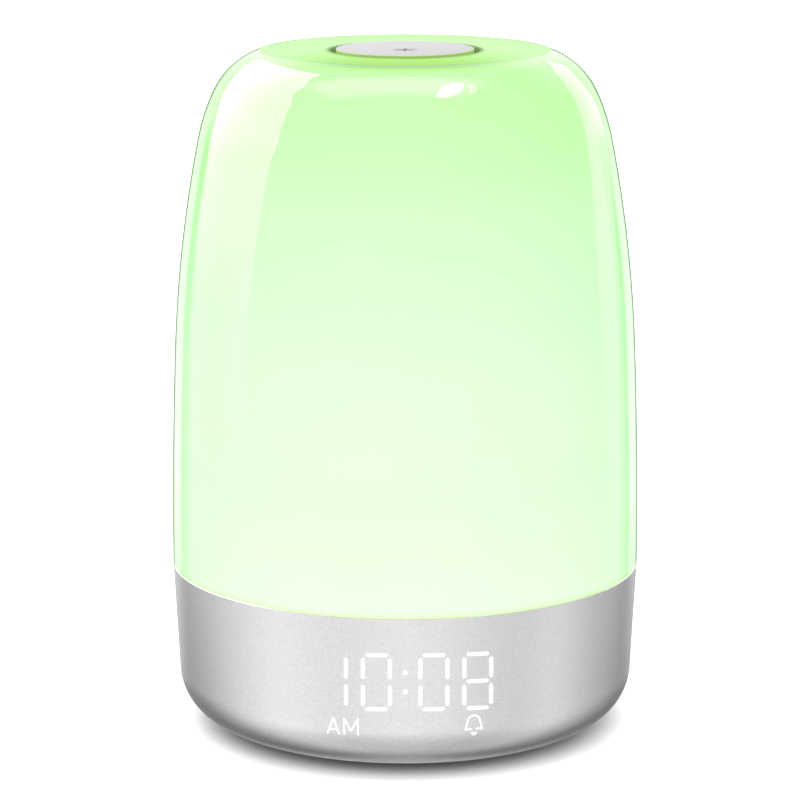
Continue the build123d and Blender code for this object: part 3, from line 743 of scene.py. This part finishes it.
def crownGlowAndPaintedShade(tree, flat, reach):
    # flat is a point without its height, and reach its distance from the middle in millimetres
    # the crown's glow, with painted shade in the button's gap and the crease, painted light on its back and a
    # painted dark line on its far rim
    crown = ramp(tree, reach, 0, 34, domeGlow["crown"])
    # painted light: away from the pocket and the front, the crown takes the paler back colour
    outside = spread(tree, reach, *[dome["pocketRadius"] + fade for fade in domeGlow["pocketFade"]])
    front = (0.0, domeGlow["crownFront"] * mm, 0.0)
    gap = addNode(tree, "ShaderNodeVectorMath", {0: flat, 1: front}, operation="DISTANCE").outputs["Value"]
    back = spread(tree, gap, *[fade * mm for fade in domeGlow["crownFade"]], kind="SMOOTHSTEP")
    crown = blendColours(tree, calc(tree, "MULTIPLY", outside, back), crown, domeGlow["crownBackPaintedLight"])
    # painted shade: a dark line along the crown's far rim, behind the middle
    edge = creaseRadius - domeGlow["rimWidth"]
    y = addNode(tree, "ShaderNodeSeparateXYZ", {0: flat}).outputs[1]
    behind = spread(tree, y, *[fade * mm for fade in domeGlow["rimBehind"]])
    rim = calc(tree, "MULTIPLY", spread(tree, reach, edge, edge + domeGlow["rimFade"]), behind)
    paintedRimShade = blendColours(tree, rim, (1.0, 1.0, 1.0), domeGlow["crownRimPaintedShade"])
    return blendColours(tree, 1.0, crown, paintedRimShade, "MULTIPLY")


def domeMaterial(name, coat):
    material, tree, shader, spot = newMaterial(
        name,
        base_color=domeGlow["shade"],
        roughness=0.25,
        specular_ior_level=0.0,
        coat_weight=coat,
        coat_roughness=0.03,
        coat_ior=1.5,
        emission_strength=domeGlow["strength"],
    )
    x, y, z = addNode(tree, "ShaderNodeSeparateXYZ", {0: spot}).outputs
    height = calc(tree, "MULTIPLY", z, 1 / mm)
    flat = addNode(tree, "ShaderNodeCombineXYZ", {0: x, 1: y}).outputs[0]
    reach = addNode(tree, "ShaderNodeVectorMath", {0: flat}, operation="LENGTH").outputs["Value"]
    reach = calc(tree, "MULTIPLY", reach, 1 / mm)
    side = ramp(tree, height, 30, 145, domeGlow["side"])
    onCrown = spread(tree, reach, *[creaseRadius + fade for fade in domeGlow["crownReach"]])
    onCrown = calc(tree, "MULTIPLY", spread(tree, height, *domeGlow["crownHeight"]), onCrown, clamp=True)
    colour = blendColours(tree, onCrown, side, crownGlowAndPaintedShade(tree, flat, reach))
    # faint cloudiness of the opal plastic
    cloudiness = domeGlow["cloudiness"]
    cloud = spread(tree, noise(tree, spot, 60.0, 2.0), *noiseRange, 1 - cloudiness, 1 + cloudiness)
    tree.links.new(timesColour(tree, colour, cloud), shader.inputs["Emission Color"])
    roughened(tree, shader, noise(tree, spot, 500.0, 2.0), 0.22, 0.3)
    return material


creaseRadius = domeSide(0, dome["seam"])[-1][0]
domeShell = makeDome()
place(domeShell, "housing", "dome", domeMaterial("domePolished", domeGlow["polishedCoat"]), "diffuser_dome")
domeOnly.objects.link(domeShell)
domeShell.data.materials.append(domeMaterial("domeCrown", domeGlow["crownCoat"]))
for face in domeShell.data.polygons:
    middle = face.center / mm
    onTop = middle.z > domeTop - domeGlow["crownDepth"]
    if onTop and math.hypot(middle.x, middle.y) < creaseRadius - 0.1:
        face.material_index = 1
print("dome turned")

# base shell
base = dict(
    seam=35.0,
    radius=50.0,
    lift=1.2,
    fillet=10.8,
    lean=2.94,
    wall=2.2,
    mouthRadius=48.0,
    mouthDepth=3.8,
    coverLand=34.26,
    coverSeat=36.26,
    coverRim=1.0,
    topEdge=0.12,
    lowerEdge=0.3,
)


def sideRadius(height, inset=0.0):
    lean = math.radians(base["lean"])
    return base["radius"] - (base["seam"] - height) * math.tan(lean) - inset / math.cos(lean)


def makeBaseShell():
    lift, seam, wall = base["lift"], base["seam"], base["wall"]
    ledge = seam - base["mouthDepth"]
    outline = rounded(
        [
            (base["coverSeat"], lift, base["lowerEdge"]),
            (sideRadius(lift), lift, base["fillet"]),
            (sideRadius(seam), seam, base["topEdge"]),
            (base["mouthRadius"], seam, base["topEdge"]),
            (base["mouthRadius"], ledge, 0),
            (sideRadius(ledge, wall), ledge, 0),
            (sideRadius(lift + wall, wall), lift + wall, base["fillet"] - wall),
            (base["coverLand"], lift + wall, 0),
            (base["coverLand"], lift + base["coverRim"], 0),
            (base["coverSeat"], lift + base["coverRim"], 0),
        ],
        14,
    )
    return lathe("baseShell", outline, 256, 32)


def shellReach(height, inset=0.0):
    # the shell's radius at a height, with the round at its foot
    middle = base["lift"] + base["fillet"]
    if height > middle:
        return sideRadius(height, inset)
    rest = (base["fillet"] - inset) ** 2 - (middle - height) ** 2
    return sideRadius(middle, base["fillet"]) + math.sqrt(rest)


def shellFace(x, z, inset=0.0):
    # how far the shell's face is from the middle plane
    return math.sqrt(shellReach(z, inset) ** 2 - x * x)


keys = dict(
    names=("alarm", "time", "minus", "plus", "sound"),
    pitch=7.0,
    height=24.0,
    width=4.6,
    tall=3.6,
    proud=0.4,
    edge=0.4,
    dish=0.06,
    lip=0.8,
    lipGap=0.3,
    back=41.3,
    gap=0.2,
    markStroke=0.2,
    markProud=0.03,
    markSunk=0.15,
)
inlet = dict(width=11.2, tall=7.0, radius=1.5, height=16.0)
openings = dict(
    windowHalf=19.5,
    window=(8.8, 28.9),  # its lower and upper edge
    windowWall=0.8,
    windowInside=20.0,  # where the cutter for it starts
    boardFace=37.5,
    keyFace=38.0,
    bossRadius=2.2,
    bossBore=0.9,
    displayBosses=(21.6, 11.8, 26.3),  # to either side, and the two heights
    keyBosses=(19.2, 15.0, 27.0),
    boreDepth=3.4,
    inside=4.0,  # how far inside the rear board's face the cutters start
    ease=0.3,
)


def thinTheWindow(shell):
    # the wall over the display is pared down from inside
    low, high = openings["window"]
    columns, rows = 24, 14
    across = [openings["windowHalf"] * (2 * index / columns - 1) for index in range(columns + 1)]
    rings = []
    for row in range(rows + 1):
        z = low + (high - low) * row / rows
        face = [(x, -shellFace(x, z, openings["windowWall"]), z) for x in across]
        rings.append(face + [(x, -openings["windowInside"], z) for x in reversed(across)])
    carve(shell, column("window", rings))


def circleAt(x, z, radius):
    return [(x + px, z + pz) for px, pz in slotOutline(2 * radius, 2 * radius, radius)]


def screwPosts():
    # the posts on the wall that the two boards are screwed to, and their bores
    posts, bores = [], []
    front = (openings["displayBosses"], openings["boardFace"], -1)
    rear = (openings["keyBosses"], openings["keyFace"], 1)
    for (half, *heights), face, side in (front, rear):
        for x, z in [(x, z) for z in heights for x in (-half, half)]:
            circle = circleAt(x, z, openings["bossRadius"])
            near = [(px, side * face, pz) for px, pz in circle]
            far = [(px, side * shellFace(px, pz, base["wall"] / 2), pz) for px, pz in circle]
            posts.append(column("post", [near, far]))
            circle = circleAt(x, z, openings["bossBore"])
            ends = (face - 1, face + openings["boreDepth"])
            bores.append(column("bore", [[(px, side * end, pz) for px, pz in circle] for end in ends]))
    return posts, bores


def openingBehind(x, z, width, tall, radius):
    # an opening through the rear wall, with its rim eased outwards
    ease, start = openings["ease"], openings["keyFace"] - openings["inside"]
    rings = [[(x + px, start, z + pz) for px, pz in slotOutline(width, tall, radius)]]
    for lift, grow in ((-ease, 0.0), (-ease / 3, ease / 3), (0.02, ease), (2.0, ease)):
        outline = [(x + px, z + pz) for px, pz in slotOutline(width, tall, radius, -grow)]
        rings.append([(px, shellFace(px, pz) + lift, pz) for px, pz in outline])
    return column("opening", rings)


def keepTheCurve(shell):
    # faces left on the turned outside keep its own normals beside the openings
    mesh = shell.data
    offFace, facing = 0.03, 0.97  # how far off the outside, in millimetres, and how square to it
    foot = base["lift"] + base["fillet"]
    lean = math.tan(math.radians(base["lean"]))

    def outward(spot):
        radius = math.hypot(spot.x, spot.y)
        if spot.z > foot:
            rise = -lean
        else:
            rise = (spot.z - foot) / (radius - sideRadius(foot, base["fillet"]))
        return Vector((spot.x / radius, spot.y / radius, rise)).normalized()

    normals = [Vector()] * len(mesh.loops)
    for face in mesh.polygons:
        spots = [mesh.vertices[index].co / mm for index in face.vertices]
        heights = [spot.z for spot in spots]
        if min(heights) < base["lift"] + 0.5 or max(heights) > base["seam"]:
            continue
        far = max(abs(math.hypot(spot.x, spot.y) - shellReach(spot.z)) for spot in spots)
        if far < offFace and face.normal.dot(outward(face.center / mm)) > facing:
            for loop, spot in zip(face.loop_indices, spots):
                normals[loop] = outward(spot)
    mesh.normals_split_custom_set(normals)


def keyPlaces():
    return [(name, keys["pitch"] * (index - 2)) for index, name in enumerate(keys["names"])]


silver = dict(colour=0.84, metallic=0.92, roughness=0.34, flakeSize=0.17, flakeDepth=0.013)


def silverMaterial():
    shade, metallic, rough = silver["colour"], silver["metallic"], silver["roughness"]
    material, tree, shader, spot = newMaterial("silverLacquer", base_color=grey(shade), metallic=metallic)
    scale = 1 / (silver["flakeSize"] * mm)
    flake = noise(tree, spot, scale / 2, 2.0, 0.6)
    stops = ((0.3, 0.92 * shade), (0.5, shade), (0.72, 1.1 * shade))
    tree.links.new(ramp(tree, flake, 0, 1, stops), shader.inputs["Base Color"])
    roughened(tree, shader, noise(tree, spot, scale * 1.3, 1.0), rough - 0.05, rough + 0.05)
    bump(tree, shader, flake, 0.25, silver["flakeDepth"] * mm)
    return material


silverLacquer = silverMaterial()
baseShell = makeBaseShell()
thinTheWindow(baseShell)
posts, cutters = screwPosts()
carve(baseShell, joined("posts", posts), "UNION")
keyHole = (keys["width"] + 2 * keys["gap"], keys["tall"] + 2 * keys["gap"], keys["tall"] / 2 + keys["gap"])
for _, middle in keyPlaces():
    cutters.append(openingBehind(middle, keys["height"], *keyHole))
cutters.append(openingBehind(0, inlet["height"], inlet["width"], inlet["tall"], inlet["radius"]))
carve(baseShell, joined("openings", cutters))
softenEdges(baseShell, 32)
keepTheCurve(baseShell)
place(baseShell, "housing", "silver_shell", silverLacquer, "base_shell")
print("base turned")

# time display
display = dict(
    middle=21.5,
    centres=(-14.8, -5.85, 5.85, 14.8),
    digits="1008",
    width=5.5,
    height=11.6,
    bar=0.87,
    flatGap=0.7,
    uprightGap=1.1,
    colon=(23.6, 19.5),
    colonSize=0.55,
    proud=0.02,
    sunk=0.3,
    glow=1.0,
    levelling=0.15,  # lowers what lies off the middle, so that the row reads level from the bedside
)
litBars = {"1": "bc", "0": "abcdef", "8": "abcdefg"}


def barShape(length):
    half, point = length / 2, display["bar"] / 2
    under = [(-half, 0), (point - half, -point), (half - point, -point)]
    return under + [(-x, -z) for x, z in under]


def turnedShape(shape, x, z, upright=False):
    return [((x - b, z + a) if upright else (x + a, z + b)) for a, b in shape]


def digitShapes():
    wide, tall = display["width"], display["height"]
    flat = barShape(wide - display["flatGap"])
    upright = barShape(tall / 2 - display["uprightGap"])
    mid, side, quarter = display["middle"], wide / 2, tall / 4
    shapes = []
    for digit, x in zip(display["digits"], display["centres"]):
        spots = {
            "a": (x, mid + tall / 2, False),
            "g": (x, mid, False),
            "d": (x, mid - tall / 2, False),
            "b": (x + side, mid + quarter, True),
            "c": (x + side, mid - quarter, True),
            "f": (x - side, mid + quarter, True),
            "e": (x - side, mid - quarter, True),
        }
        for bar in litBars[digit]:
            px, pz, up = spots[bar]
            shapes.append(turnedShape(upright if up else flat, px, pz, up))
    return shapes


def disc(x, z, radius, steps=16):
    return arc((x, z), radius, 0, 360, steps)[:-1]


def inlay(name, shapes, proud, sunk, surface, step=0.7):
    # closed thin pieces drawn in X and Z, merged where they cross, and wrapped on a surface
    pieces = []
    for shape in shapes:
        count = len(shape)
        points = [(x, -proud, z) for x, z in shape] + [(x, sunk, z) for x, z in shape]
        faces = [tuple(range(count)), tuple(range(2 * count - 1, count - 1, -1))]
        faces += [(i, (i + 1) % count, (i + 1) % count + count, i + count) for i in range(count)]
        pieces.append(makeObject(name, points, faces))
    whole = pieces[0]
    for piece in pieces[1:]:
        carve(whole, piece, "UNION")
    made = bmesh.new()
    made.from_mesh(whole.data)
    bmesh.ops.triangulate(made, faces=made.faces)
    for _ in range(6):
        long = [edge for edge in made.edges if edge.calc_length() > step]
        if not long:
            break
        bmesh.ops.subdivide_edges(made, edges=long, cuts=1)
        bmesh.ops.triangulate(made, faces=made.faces)
    for vertex in made.verts:
        vertex.co = surface(vertex.co.x, -vertex.co.y, vertex.co.z)
    made.to_mesh(whole.data)
    made.free()
    softenEdges(whole, 30)
    return whole


def onFront(x, lift, z):
    reach = sideRadius(z) + lift
    return Vector((x, -math.sqrt(reach * reach - x * x), z)) * mm


def onDigitRow(x, lift, z):
    reach = sideRadius(z)
    return onFront(x, lift, z - display["levelling"] * (reach - math.sqrt(reach * reach - x * x)))


def stroke(points, width):
    # overlapping capsules along a drawn line
    shapes = []
    for start, end in zip(points, points[1:]):
        angle = math.degrees(math.atan2(end[1] - start[1], end[0] - start[0]))
        back = arc(start, width / 2, angle + 90, angle + 270, 8)
        shapes.append(back + arc(end, width / 2, angle - 90, angle + 90, 8))
    return shapes


def glowMaterial():
    material, tree, shader, spot = newMaterial(
        "displayGlow",
        base_color=(0.05, 0.05, 0.05),
        roughness=0.5,
        emission_strength=display["glow"],
    )
    flicker = noise(tree, spot, 900.0, 1.0)
    tinted(tree, shader, flicker, (0.94, 0.95, 0.96), (1.0, 1.0, 1.0), "Emission Color")
    return material


displayGlow = glowMaterial()
# each bar stays a piece of light of its own, so they don't merge
proud, sunk = display["proud"], display["sunk"]
bars = [inlay("bar", [shape], proud, sunk, onDigitRow) for shape in digitShapes()]
place(joined("timeDigits", bars), "housing", "led_chip", displayGlow)
dots = [inlay("dot", [disc(0, z, display["colonSize"])], proud, sunk, onFront) for z in display["colon"]]
place(joined("colonDots", dots), "housing", "led_chip", displayGlow)

signs = dict(
    stroke=0.4,
    barStroke=0.34,
    letterA=((-15.9, 9.85), (-14.7, 13.25), (-13.5, 9.85)),
    letterABar=((-15.45, 10.75), (-13.95, 10.75)),
    letterM=((-12.45, 9.9), (-12.45, 13.2), (-11.05, 10.7), (-9.65, 13.3), (-9.65, 9.95)),
    bell=((13.5, 10.85), (12.35, 10.8), (12.75, 12.4)),
    bellArch=(14.05, 12.5, 1.28),
    clapper=(14.05, 10.0),
)


def signShapes():
    letterA = stroke(signs["letterA"], signs["stroke"]) + stroke(signs["letterABar"], signs["barStroke"])
    letterM = stroke(signs["letterM"], signs["stroke"])
    x, z, radius = signs["bellArch"]
    left = list(signs["bell"])
    right = [(2 * x - px, pz) for px, pz in reversed(left)]
    bell = stroke(left + arc((x, z), radius, 162, 18, 8) + right, signs["stroke"])
    cx, cz = signs["clapper"]
    half = [(0.7, 0.1), (0.35, -0.45), (0, -0.6)]
    clapper = [(cx - px, cz + pz) for px, pz in half] + [(cx + px, cz + pz) for px, pz in half[1::-1]]
    return letterA, letterM, bell, [clapper]


for name, shapes in zip(("signA", "signM", "signBell", "signClapper"), signShapes()):
    place(inlay(name, shapes, proud, sunk, onFront), "housing", "led_chip", displayGlow)
print("display lit")

# light button
button = dict(
    radius=14.5,
    edge=0.2,
    faceUnder=144.97,
    capUnder=142.6,
    recess=143.5,
    rim=12.7,
    stem=3.0,
    clipTop=137.8,
    clipUnder=137.2,
    neck=2.4,
    stemEnd=136.5,
    iconProud=0.015,
)


def makeButton():
    top = buttonTop - button["iconProud"]
    radius, edge = button["radius"], button["edge"]
    outline = [
        (0, top),
        (radius - edge, top),
        *arc((radius - edge, top - edge), edge, 90, 0, 6)[1:],
        (radius, button["capUnder"]),
        (button["rim"], button["capUnder"]),
        (button["rim"], button["recess"]),
        (button["stem"], button["recess"]),
        (button["stem"], button["clipTop"]),
        (button["neck"], button["clipTop"]),
        (button["neck"], button["clipUnder"]),
        (button["stem"], button["clipUnder"]),
        (button["stem"], button["stemEnd"]),
        (0, button["stemEnd"]),
    ]
    return lathe("lightButton", outline)


def satinMetal(name, colour, metallic, scale, dark, light, smoothest, roughest):
    material, tree, shader, spot = newMaterial(name, base_color=colour, metallic=metallic)
    grain = noise(tree, spot, scale, 2.0)
    tinted(tree, shader, grain, dark, light)
    roughened(tree, shader, grain, smoothest, roughest)
    bump(tree, shader, grain, 0.2, 0.008 * mm)
    return material


def skirtPaintedGlowMaterial():
    # the button's plastic side, with the lamp's light in the gap round it painted on as a green glow
    shade = (0.1, 0.14, 0.06)
    material, tree, shader, spot = newMaterial(
        "buttonSkirtPaintedGlow",
        base_color=shade,
        roughness=0.6,
        emission_strength=1.0,
    )
    speck = noise(tree, spot, 900.0, 2.0)
    tinted(tree, shader, speck, (0.17, 0.33, 0.025), (0.21, 0.39, 0.035), "Emission Color")
    return material


satinButton = satinMetal(
    "satinButton",
    colour=(0.4, 0.39, 0.4),
    metallic=0.9,
    scale=2600.0,
    dark=(0.37, 0.36, 0.37),
    light=(0.44, 0.43, 0.44),
    smoothest=0.38,
    roughest=0.48,
)
lightButton = makeButton()
place(lightButton, "light_button", "button_metal", satinButton, "light_button")
lightButton.data.materials.append(skirtPaintedGlowMaterial())
for face in lightButton.data.polygons:
    if face.center.z < button["faceUnder"] * mm:
        face.material_index = 1

sun = dict(disc=1.2, rayFrom=1.75, rayTo=2.4, rayWidth=0.5, rays=8, forward=3.0, sunk=0.1)


def onButton(x, lift, y):
    return Vector((x, y - sun["forward"], buttonTop - button["iconProud"] + lift)) * mm


def makeSunIcon():
    proud, sunk = button["iconProud"], sun["sunk"]
    pieces = [inlay("sunDisc", [disc(0, 0, sun["disc"], 32)], proud, sunk, onButton)]
    for index in range(sun["rays"]):
        angle = 2 * math.pi * index / sun["rays"]
        ends = [polar(reach, angle) for reach in (sun["rayFrom"], sun["rayTo"])]
        pieces.append(inlay("sunRay", stroke(ends, sun["rayWidth"]), proud, sunk, onButton))
    return joined("sunIcon", pieces)


def inkMaterial():
    light = (0.05, 0.05, 0.06)
    material, tree, shader, spot = newMaterial("darkInk", base_color=light, roughness=0.5)
    tinted(tree, shader, noise(tree, spot, 3000.0, 2.0), (0.025, 0.025, 0.03), light)
    return material


darkInk = inkMaterial()
place(makeSunIcon(), "light_button", "button_metal", darkInk)
print("button turned")


# the five keys behind
def makeKey(name, middle):
    wide, tall, edge = keys["width"], keys["tall"], keys["edge"]

    def ring(inset, grow, face):
        outline = slotOutline(wide + 2 * grow, tall + 2 * grow, tall / 2 + grow, inset)
        spots = [(middle + x, keys["height"] + z) for x, z in outline]
        return [(x, face(x, z), z) for x, z in spots]

    def inner(x, z):
        return shellFace(x, z, base["wall"] + keys["lipGap"])

    def outer(drop):
        return lambda x, z: shellFace(x, z, -keys["proud"]) - drop

    lip = keys["lip"]
    rings = [ring(0, lip, lambda x, z: keys["back"]), ring(0, lip, inner), ring(0, 0, inner)]
    for step in range(6):
        inwards, upwards = polar(edge, math.radians(90 * step / 5))
        rings.append(ring(edge - inwards, 0, outer(edge - upwards)))
    for share in (0.4, 0.6, 0.8, 0.95):
        inset = edge + (tall / 2 - edge) * share
        rings.append(ring(inset, 0, outer(keys["dish"] * share)))
    return column(name + "Key", rings, 35)


def onKey(middle):
    # the face of the key whose middle this is; seen from behind, right is towards -X
    def surface(x, lift, z):
        x, z = middle - x, keys["height"] + z
        return Vector((x, shellFace(x, z, -keys["proud"]) - keys["dish"] * 0.75 + lift, z)) * mm

    return surface


def bellMark():
    body = [(-0.6, -0.4), (-0.42, -0.05), (-0.36, 0.3), (-0.2, 0.58), (0, 0.68)]
    outline = body + [(-x, z) for x, z in reversed(body[:-1])] + body[:1]
    return stroke(outline, keys["markStroke"]) + [disc(0, -0.68, 0.15)]


def clockMark():
    face = disc(0, 0, 0.68, 20)
    hands = [(0, 0.4), (0, 0), (0.3, 0)]
    return stroke(face + face[:1], keys["markStroke"]) + stroke(hands, keys["markStroke"])


def noteMark():
    stem = [(-0.02, -0.42), (-0.02, 0.62), (0.42, 0.4)]
    return [disc(-0.2, -0.44, 0.26)] + stroke(stem, keys["markStroke"])


lineMark = stroke([(-0.6, 0), (0.6, 0)], keys["markStroke"])
crossMark = lineMark + stroke([(0, -0.6), (0, 0.6)], keys["markStroke"])
marks = dict(alarm=bellMark(), time=clockMark(), minus=lineMark, plus=crossMark, sound=noteMark())
keyLacquer = satinMetal(
    "keyLacquer",
    colour=(0.5, 0.5, 0.51),
    metallic=0.75,
    scale=3200.0,
    dark=0.44,
    light=0.56,
    smoothest=0.34,
    roughest=0.46,
)
for name, middle in keyPlaces():
    place(makeKey(name, middle), name + "_key", "key_plastic", keyLacquer, name + "_key")
    mark = inlay(name + "Mark", marks[name], keys["markProud"], keys["markSunk"], onKey(middle), 0.4)
    place(mark, name + "_key", "key_plastic", darkInk)
print("keys set")

# the four screws that hold the bottom cover
screws = dict(
    circle=28.5,
    angles=(25, 155, -40, -140),
    turns=(20, 53, 86, 119),  # where each one's cross came to rest
    shank=1.25,
    length=9.6,
    tipHeight=0.6,
    tipEdge=0.5,
    head=2.3,
    headEdge=0.5,
    rise=1.2,
    seat=3.0,
    crossHalf=0.28,
    crossReach=1.3,
    crossDepth=0.75,
)


def makeScrew(angle, turn):
    seat, head, shank, edge = screws["seat"], screws["head"], screws["shank"], screws["headEdge"]
    under, end = seat - screws["rise"], seat + screws["length"]
    outline = [
        (0, under),
        *arc((head - edge, under + edge), edge, -90, 0, 6),
        (head, seat),
        (shank, seat),
        (shank, end - screws["tipHeight"]),
        (shank - screws["tipEdge"], end),
        (0, end),
    ]
    screw = lathe("screw", outline, 48)
    half, reach = screws["crossHalf"], screws["crossReach"]
    arm = [(reach, -half), (reach, half), (half, half)]
    cross = []
    for _ in range(4):
        cross += arm
        arm = [(-y, x) for x, y in arm]
    levels = ((1.05, under - 0.2), (1.0, under), (0.6, under + screws["crossDepth"]))
    carve(screw, column("cross", [[(share * x, share * y, z) for x, y in cross] for share, z in levels]))
    screw.data.transform(Matrix.Rotation(math.radians(turn), 4, "Z"))
    moveSideways(screw, *polar(screws["circle"], math.radians(angle)))
    return screw


# what the inner pieces are made of; sizes in millimetres
def finishFor(name, dark, light, rough, grain, depth=0.01, metallic=0.0, stretch=(1, 1, 1), lines=None):
    # a fine moulded, sprayed, rolled or printed surface
    material, tree, shader, spot = newMaterial(name, base_color=grey(light), metallic=metallic)
    stretched = addNode(tree, "ShaderNodeVectorMath", {0: spot, 1: stretch}, operation="MULTIPLY").outputs[0]
    speck = noise(tree, stretched, 0.5 / (grain * mm), 3.0)
    tone = speck
    if lines:
        pitch, direction = lines
        scale = math.pi / (10 * pitch * mm)
        wave = addNode(tree, "ShaderNodeTexWave", {"Vector": spot, "Scale": scale}, bands_direction=direction)
        tone = calc(tree, "MULTIPLY_ADD", wave.outputs["Fac"], 0.75, calc(tree, "MULTIPLY", speck, 0.25))
    tinted(tree, shader, tone, dark, light)
    roughened(tree, shader, speck, rough - 0.07, rough + 0.07)
    bump(tree, shader, tone, 0.4, depth * mm)
    return material


def boardMaterial(name, mask, track):
    # solder resist over copper tracks, with a few round pads
    material, tree, shader, spot = newMaterial(name, base_color=mask, roughness=0.35)
    cells = addNode(tree, "ShaderNodeTexVoronoi", {"Vector": spot, "Scale": 420.0}, distance="CHEBYCHEV")
    pads = addNode(tree, "ShaderNodeTexVoronoi", {"Vector": spot, "Scale": 260.0})
    lines = spread(tree, cells.outputs["Distance"], 0.42, 0.46)
    rounds = spread(tree, pads.outputs["Distance"], 0.16, 0.12)
    copper = calc(tree, "MAXIMUM", lines, rounds)
    tree.links.new(blendColours(tree, copper, mask, track), shader.inputs["Base Color"])
    tree.links.new(spread(tree, rounds, 0, 1, 0.4, 0.22), shader.inputs["Roughness"])
    bump(tree, shader, copper, 0.3, 0.03 * mm)
    return material


finishes = dict(
    white_plastic=dict(dark=0.62, light=0.74, rough=0.42, grain=0.3),
    black_plastic=dict(dark=0.014, light=0.03, rough=0.5, grain=0.25, depth=0.015),
    cover_plastic=dict(dark=0.016, light=0.036, rough=0.55, grain=0.22, depth=0.03),
    foot_rubber=dict(dark=0.012, light=0.024, rough=0.8, grain=0.15, depth=0.02),
    soft_rubber=dict(dark=0.015, light=0.028, rough=0.72, grain=0.2),
    foam=dict(dark=0.02, light=0.07, rough=0.9, grain=0.35, depth=0.12),
    pouch=dict(dark=0.55, light=0.78, rough=0.32, grain=2.5, depth=0.08, metallic=0.95),
    wire_jacket=dict(dark=(0.3, 0.02, 0.015), light=(0.48, 0.05, 0.03), rough=0.42, grain=0.4),
    spring_steel=dict(dark=0.4, light=0.62, rough=0.3, grain=0.2, metallic=1.0, stretch=(1, 1, 0.1)),
    can_metal=dict(dark=0.5, light=0.66, rough=0.34, grain=0.3, metallic=1.0, stretch=(1, 1, 0.08)),
    socket_metal=dict(dark=0.5, light=0.72, rough=0.26, grain=0.15, metallic=1.0, stretch=(0.1, 1, 1)),
    screw_steel=dict(dark=0.42, light=0.62, rough=0.3, grain=0.12, metallic=1.0),
    speaker_steel=dict(dark=0.02, light=0.05, rough=0.42, grain=0.3, depth=0.02),
    coil_copper=dict(
        dark=(0.45, 0.16, 0.06),
        light=(0.8, 0.42, 0.22),
        rough=0.3,
        grain=0.3,
        depth=0.05,
        metallic=0.9,
        lines=(0.25, "Z"),
    ),
    cone_paper=dict(dark=0.02, light=0.055, rough=0.85, grain=0.5, depth=0.05),
    clear_tube=dict(dark=0.7, light=0.82, rough=0.3, grain=0.6),
    led_chip=dict(dark=(0.8, 0.72, 0.3), light=(0.93, 0.86, 0.45), rough=0.4, grain=0.2, depth=0.02),
    mask_film=dict(dark=0.02, light=0.04, rough=0.4, grain=0.5, depth=0.005),
    ribbon=dict(dark=0.45, light=0.8, rough=0.4, grain=0.3, depth=0.04, lines=(1.27, "X")),
)

made = {name: finishFor(name + "Finish", **look) for name, look in finishes.items()}
made["green_board"] = boardMaterial("greenBoard", (0.01, 0.09, 0.035), (0.02, 0.16, 0.06))
made["white_board"] = boardMaterial("whiteBoard", (0.72, 0.73, 0.71), (0.8, 0.8, 0.77))

screwPlaces = zip(screws["angles"], screws["turns"])
bottomScrews = joined("bottomScrews", [makeScrew(angle, turn) for angle, turn in screwPlaces])
softenEdges(bottomScrews)
place(bottomScrews, "housing", "screw_steel", made["screw_steel"], "bottom_screws")

# the rubber roll round the loudspeaker's cone, which clears the frame as the cone moves
surround = dict(wall=0.14, coneRadius=11.8, clearance=0.2)


def makeSurround():
    low, high = (Vector(corner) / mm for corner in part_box("speaker_surround"))
    inner = surround["coneRadius"]
    outer = (high.x - low.x) / 2 - surround["clearance"]
    wall, top, half = surround["wall"], high.z, (outer - inner) / 2
    middle = (inner + half, top - wall)
    outline = [(inner, top), *arc(middle, half, 180, 360, 12), (outer, top), (outer - wall, top)]
    outline += arc(middle, half - wall, 360, 180, 12) + [(inner + wall, top)]
    roll = lathe("speakerRoll", outline, 96, 40)
    moveSideways(roll, *((low + high) / 2).xy)
    return roll


place(makeSurround(), "speaker_cone", "soft_rubber", made["soft_rubber"], "speaker_surround")

slotOf = {part["node"]: part["material_slot"] for part in frame["record"]["subparts"]}
for name, node in frame["nodes"].items():
    if not node.hide_render:
        for materialSlot in node.material_slots:
            materialSlot.material = made[slotOf[name]]
print("inner pieces finished")
